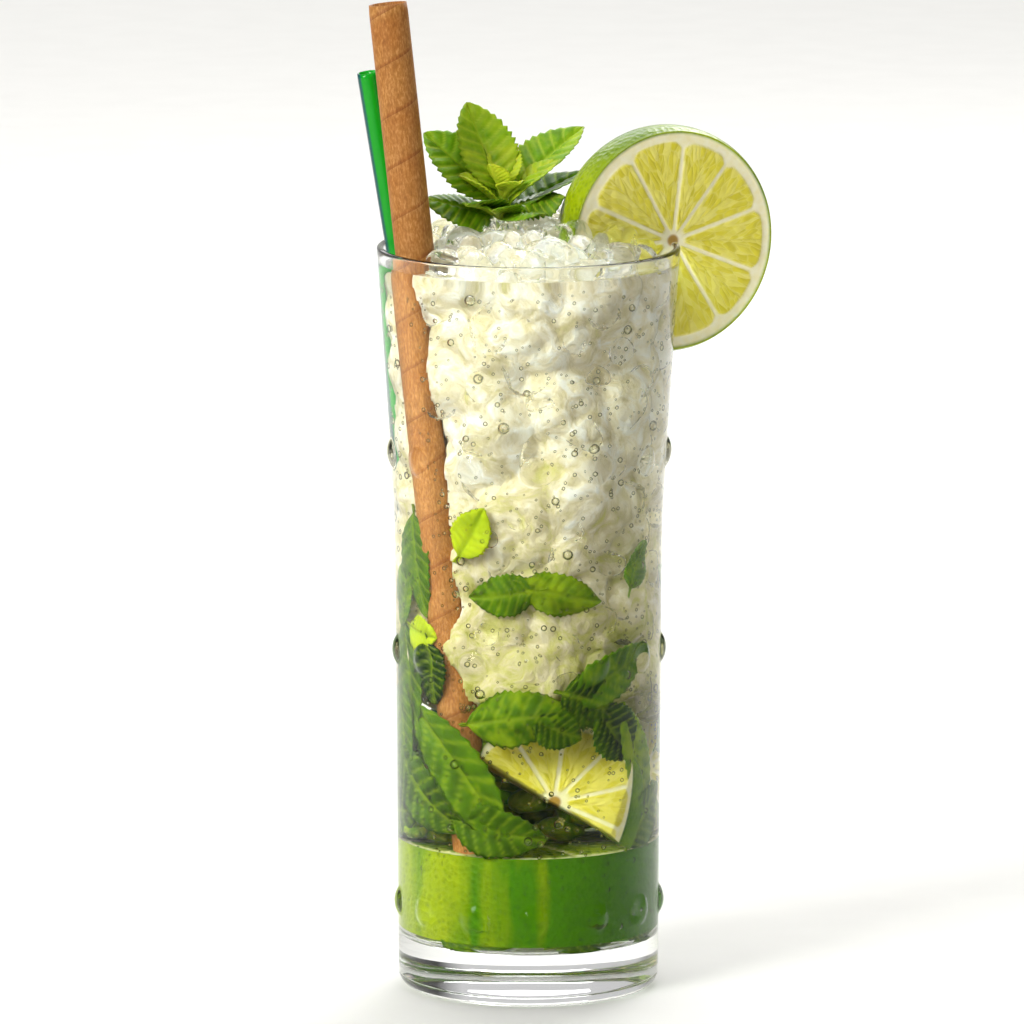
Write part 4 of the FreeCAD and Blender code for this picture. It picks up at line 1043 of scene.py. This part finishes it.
# %% Muddled pulp
pulp, tree, shader, place = finish(
    "muddled_lime_pulp", Roughness=0.3, IOR=1.4, Specular_IOR_Level=0.05, Subsurface_Weight=0.3,
    Subsurface_Scale=0.002,
)
shred = add(tree, "TexNoise", Vector=place, Scale=240.0, Detail=4.0, Distortion=1.5)
tone = add(
    tree, "ValToRGB", {"stops": [(0.3, "#3c6404"), (0.45, "#6d8a10"), (0.6, "#9aa92a"), (0.75, "#d3d06a")]},
    Fac=shred.outputs[0],
)
tree.links.new(tone.outputs[0], shader.inputs["Base Color"])
add(tree, "Bump", into=shader.inputs["Normal"], Height=shred.outputs[0], Strength=0.7, Distance=0.0012)
lumps = []
SHREDS, SHRED_LOW, SHRED_SPREAD = 60, 33.5, 20.5
for i in range(SHREDS):
    share = math.sqrt((i + 0.5) / SHREDS)
    turn, radius = math.radians(i * GOLDEN), chance.uniform(3.0, 5.5)
    reach = share * SHRED_SPREAD
    rise = 22 * chance.uniform() * (1 - share) ** 0.5
    centre = np.array([reach * math.cos(turn), reach * math.sin(turn), SHRED_LOW + rise])
    if clear_of_straws(centre)[0] < radius * 1.05 + 0.3 or centre[1] < -6 and centre[0] > -9 and centre[2] > 33:
        continue
    lumps.append(ice_lump(radius, 8, 8.0, 2) * [1.1, 1.1, 0.75] + centre)
points, faces = gather(lumps, 2)
make_piece("muddled_pulp", points, faces, pulp, None)

# %% [markdown]
# ## Bubbles
# Soda leaves hundreds of bubbles on the glass and the ice. A bubble is air in water, so light
# bends the other way: its shader is air seen from water, with an IOR of 1 / 1.333. Its colour is
# painted darker towards the rim, as painted shade. Small spheres joined in one mesh are enough,
# since each is only a few tenths of a millimetre to two millimetres wide.

# %% Bubble finish and pieces
bubble_air = bpy.data.materials.new("air_in_soda")
bubble_air.use_nodes = True
tree = bubble_air.node_tree
tree.nodes.remove(tree.nodes["Principled BSDF"])
rim = add(tree, "LayerWeight", Blend=0.5)  # painted shade: a bubble's colour darkens towards its rim
ring = add(
    tree, "ValToRGB", {"stops": [(0.0, "#ffffff"), (0.4, "#f4f4ea"), (0.62, "#8d8f6c"), (0.85, "#2c2e18")]},
    Fac=rim.outputs["Facing"],
)
shader = add(tree, "BsdfGlass", Color=ring.outputs[0], Roughness=0.0, IOR=0.75)
let_light_through(tree, shader)


def bubbles(name, count, small, large, level, low, high):
    """One piece of many bubbles on the wall: radii from small to large, heights from low to high."""
    balls = []
    while len(balls) < count:
        z = chance.uniform(low, high)
        turn = chance.uniform(0, 2 * math.pi)
        radius = small * (large / small) ** (chance.uniform() ** 2.2)
        reach = float(inside(z)) - 0.12 - radius - abs(chance.normal()) * 0.5
        centre = np.array([reach * math.cos(turn), reach * math.sin(turn), z])
        if clear_of_straws(centre)[0] > radius:
            balls.append(BALL[level][0] * radius + centre)
    points, faces = gather(balls, level)
    make_piece(name, points, faces, bubble_air, None)


bubbles("large_bubbles", 420, 0.45, 1.25, 2, 14, 150)
bubbles("small_bubbles", 2300, 0.26, 0.5, 1, 14, 151)

# %% [markdown]
# ## Floor, light and camera
# A pale matt sweep and soft studio light: a key from the upper left front, a much weaker fill
# from the right and soft light from behind and above. The surroundings are bright behind and
# on the left and darker on the right, because clear glass is drawn by the dark and light that
# it bends.

# %% Floor
paper_sweep, tree, shader, place = finish("matt_studio_paper", Roughness=0.9, Specular_IOR_Level=0.2)
grain = add(tree, "TexNoise", Vector=place, Scale=60.0, Detail=3.0)
add(
    tree, "ValToRGB", {"stops": [(0.0, "#eeede9"), (1.0, "#f4f3ef")]}, shader.inputs["Base Color"],
    Fac=grain.outputs[0],
)
mesh = bpy.data.meshes.new("studio_floor")
mesh.from_pydata([(-4, -3, 0), (4, -3, 0), (4, 6, 0), (-4, 6, 0)], [], [[0, 1, 2, 3]])
mesh.materials.append(paper_sweep)
floor = bpy.data.objects.new("studio_floor", mesh)
bpy.context.scene.collection.objects.link(floor)

# %% Lights
LIGHTS = (  # name, place, size, power, aimed at height
    ("key_softbox", (-0.85, -0.88, 0.80), 0.5, 14.0, 0.09),
    ("fill_softbox", (1.05, -0.60, 0.40), 0.5, 1.3, 0.09),
    ("back_soft", (0.35, 0.95, 0.80), 0.6, 6.0, 0.08),
    ("top_soft", (0.0, 0.1, 1.2), 0.6, 3.5, 0.1),
    ("sweep_soft", (0.0, 2.4, 1.6), 2.4, 32.0, 0.0),
)
for name, spot, size, power, aim in LIGHTS:
    light = bpy.data.lights.new(name, "AREA")
    light.shape, light.size, light.energy = "SQUARE", size, power
    lamp = bpy.data.objects.new(name, light)
    lamp.location = spot
    target = Vector((0, 1.5 if name == "sweep_soft" else 0, aim))
    lamp.rotation_euler = (target - Vector(spot)).to_track_quat("-Z", "Y").to_euler()
    bpy.context.scene.collection.objects.link(lamp)

# %% Surroundings
world = bpy.data.worlds.new("studio")
bpy.context.scene.world = world
world.use_nodes = True
tree = world.node_tree
parts = add(tree, "SeparateXYZ", _0=add(tree, "TexCoord").outputs["Generated"]).outputs
side = add(tree, "MapRange", Value=parts["X"], From_Min=-1.0, From_Max=1.0).outputs[0]
flags = add(
    tree, "ValToRGB",
    {"stops": [
        (0.0, "#d8d8d8"), (0.08, "#a0a0a0"), (0.14, "#f4f4f4"), (0.4, "#ffffff"), (0.68, "#ffffff"),
        (0.78, "#4c4c4c"), (0.9, "#6a6a6a"), (1.0, "#343434"),
    ]},
    Fac=side,
)
behind = add(tree, "MapRange", Value=parts["Y"], From_Min=-0.35, From_Max=0.35, To_Min=0.2, To_Max=1.0).outputs[0]
above = add(tree, "MapRange", Value=parts["Z"], From_Min=0.35, From_Max=0.95, To_Min=0.0, To_Max=0.9).outputs[0]
lit = add(tree, "Math", {"operation": "MAXIMUM"}, _0=behind, _1=above).outputs[0]
mix = add(tree, "Mix", TINT, _0=1.0, _6=flags.outputs[0], _7=lit)
tree.links.new(mix.outputs[2], tree.nodes["Background"].inputs["Color"])
tree.nodes["Background"].inputs["Strength"].default_value = 0.6

# %% Camera and colour
camera_data = bpy.data.cameras.new("long_lens")
camera_data.lens, camera_data.sensor_width = 444.5, 36.0
camera_data.clip_end = 20.0
camera = bpy.data.objects.new("long_lens", camera_data)
camera.location = (-0.00344, -2.600, 0.547)
LOOKS_DOWN = 9.750  # degrees
camera.rotation_euler = (math.radians(90 - LOOKS_DOWN), 0, 0)
bpy.context.scene.collection.objects.link(camera)
bpy.context.scene.camera = camera
bpy.context.scene.view_settings.view_transform = "Standard"
cycles = bpy.context.scene.cycles
cycles.max_bounces, cycles.transmission_bounces, cycles.transparent_max_bounces = 22, 22, 24
cycles.glossy_bounces, cycles.diffuse_bounces = 22, 3
cycles.caustics_reflective = False
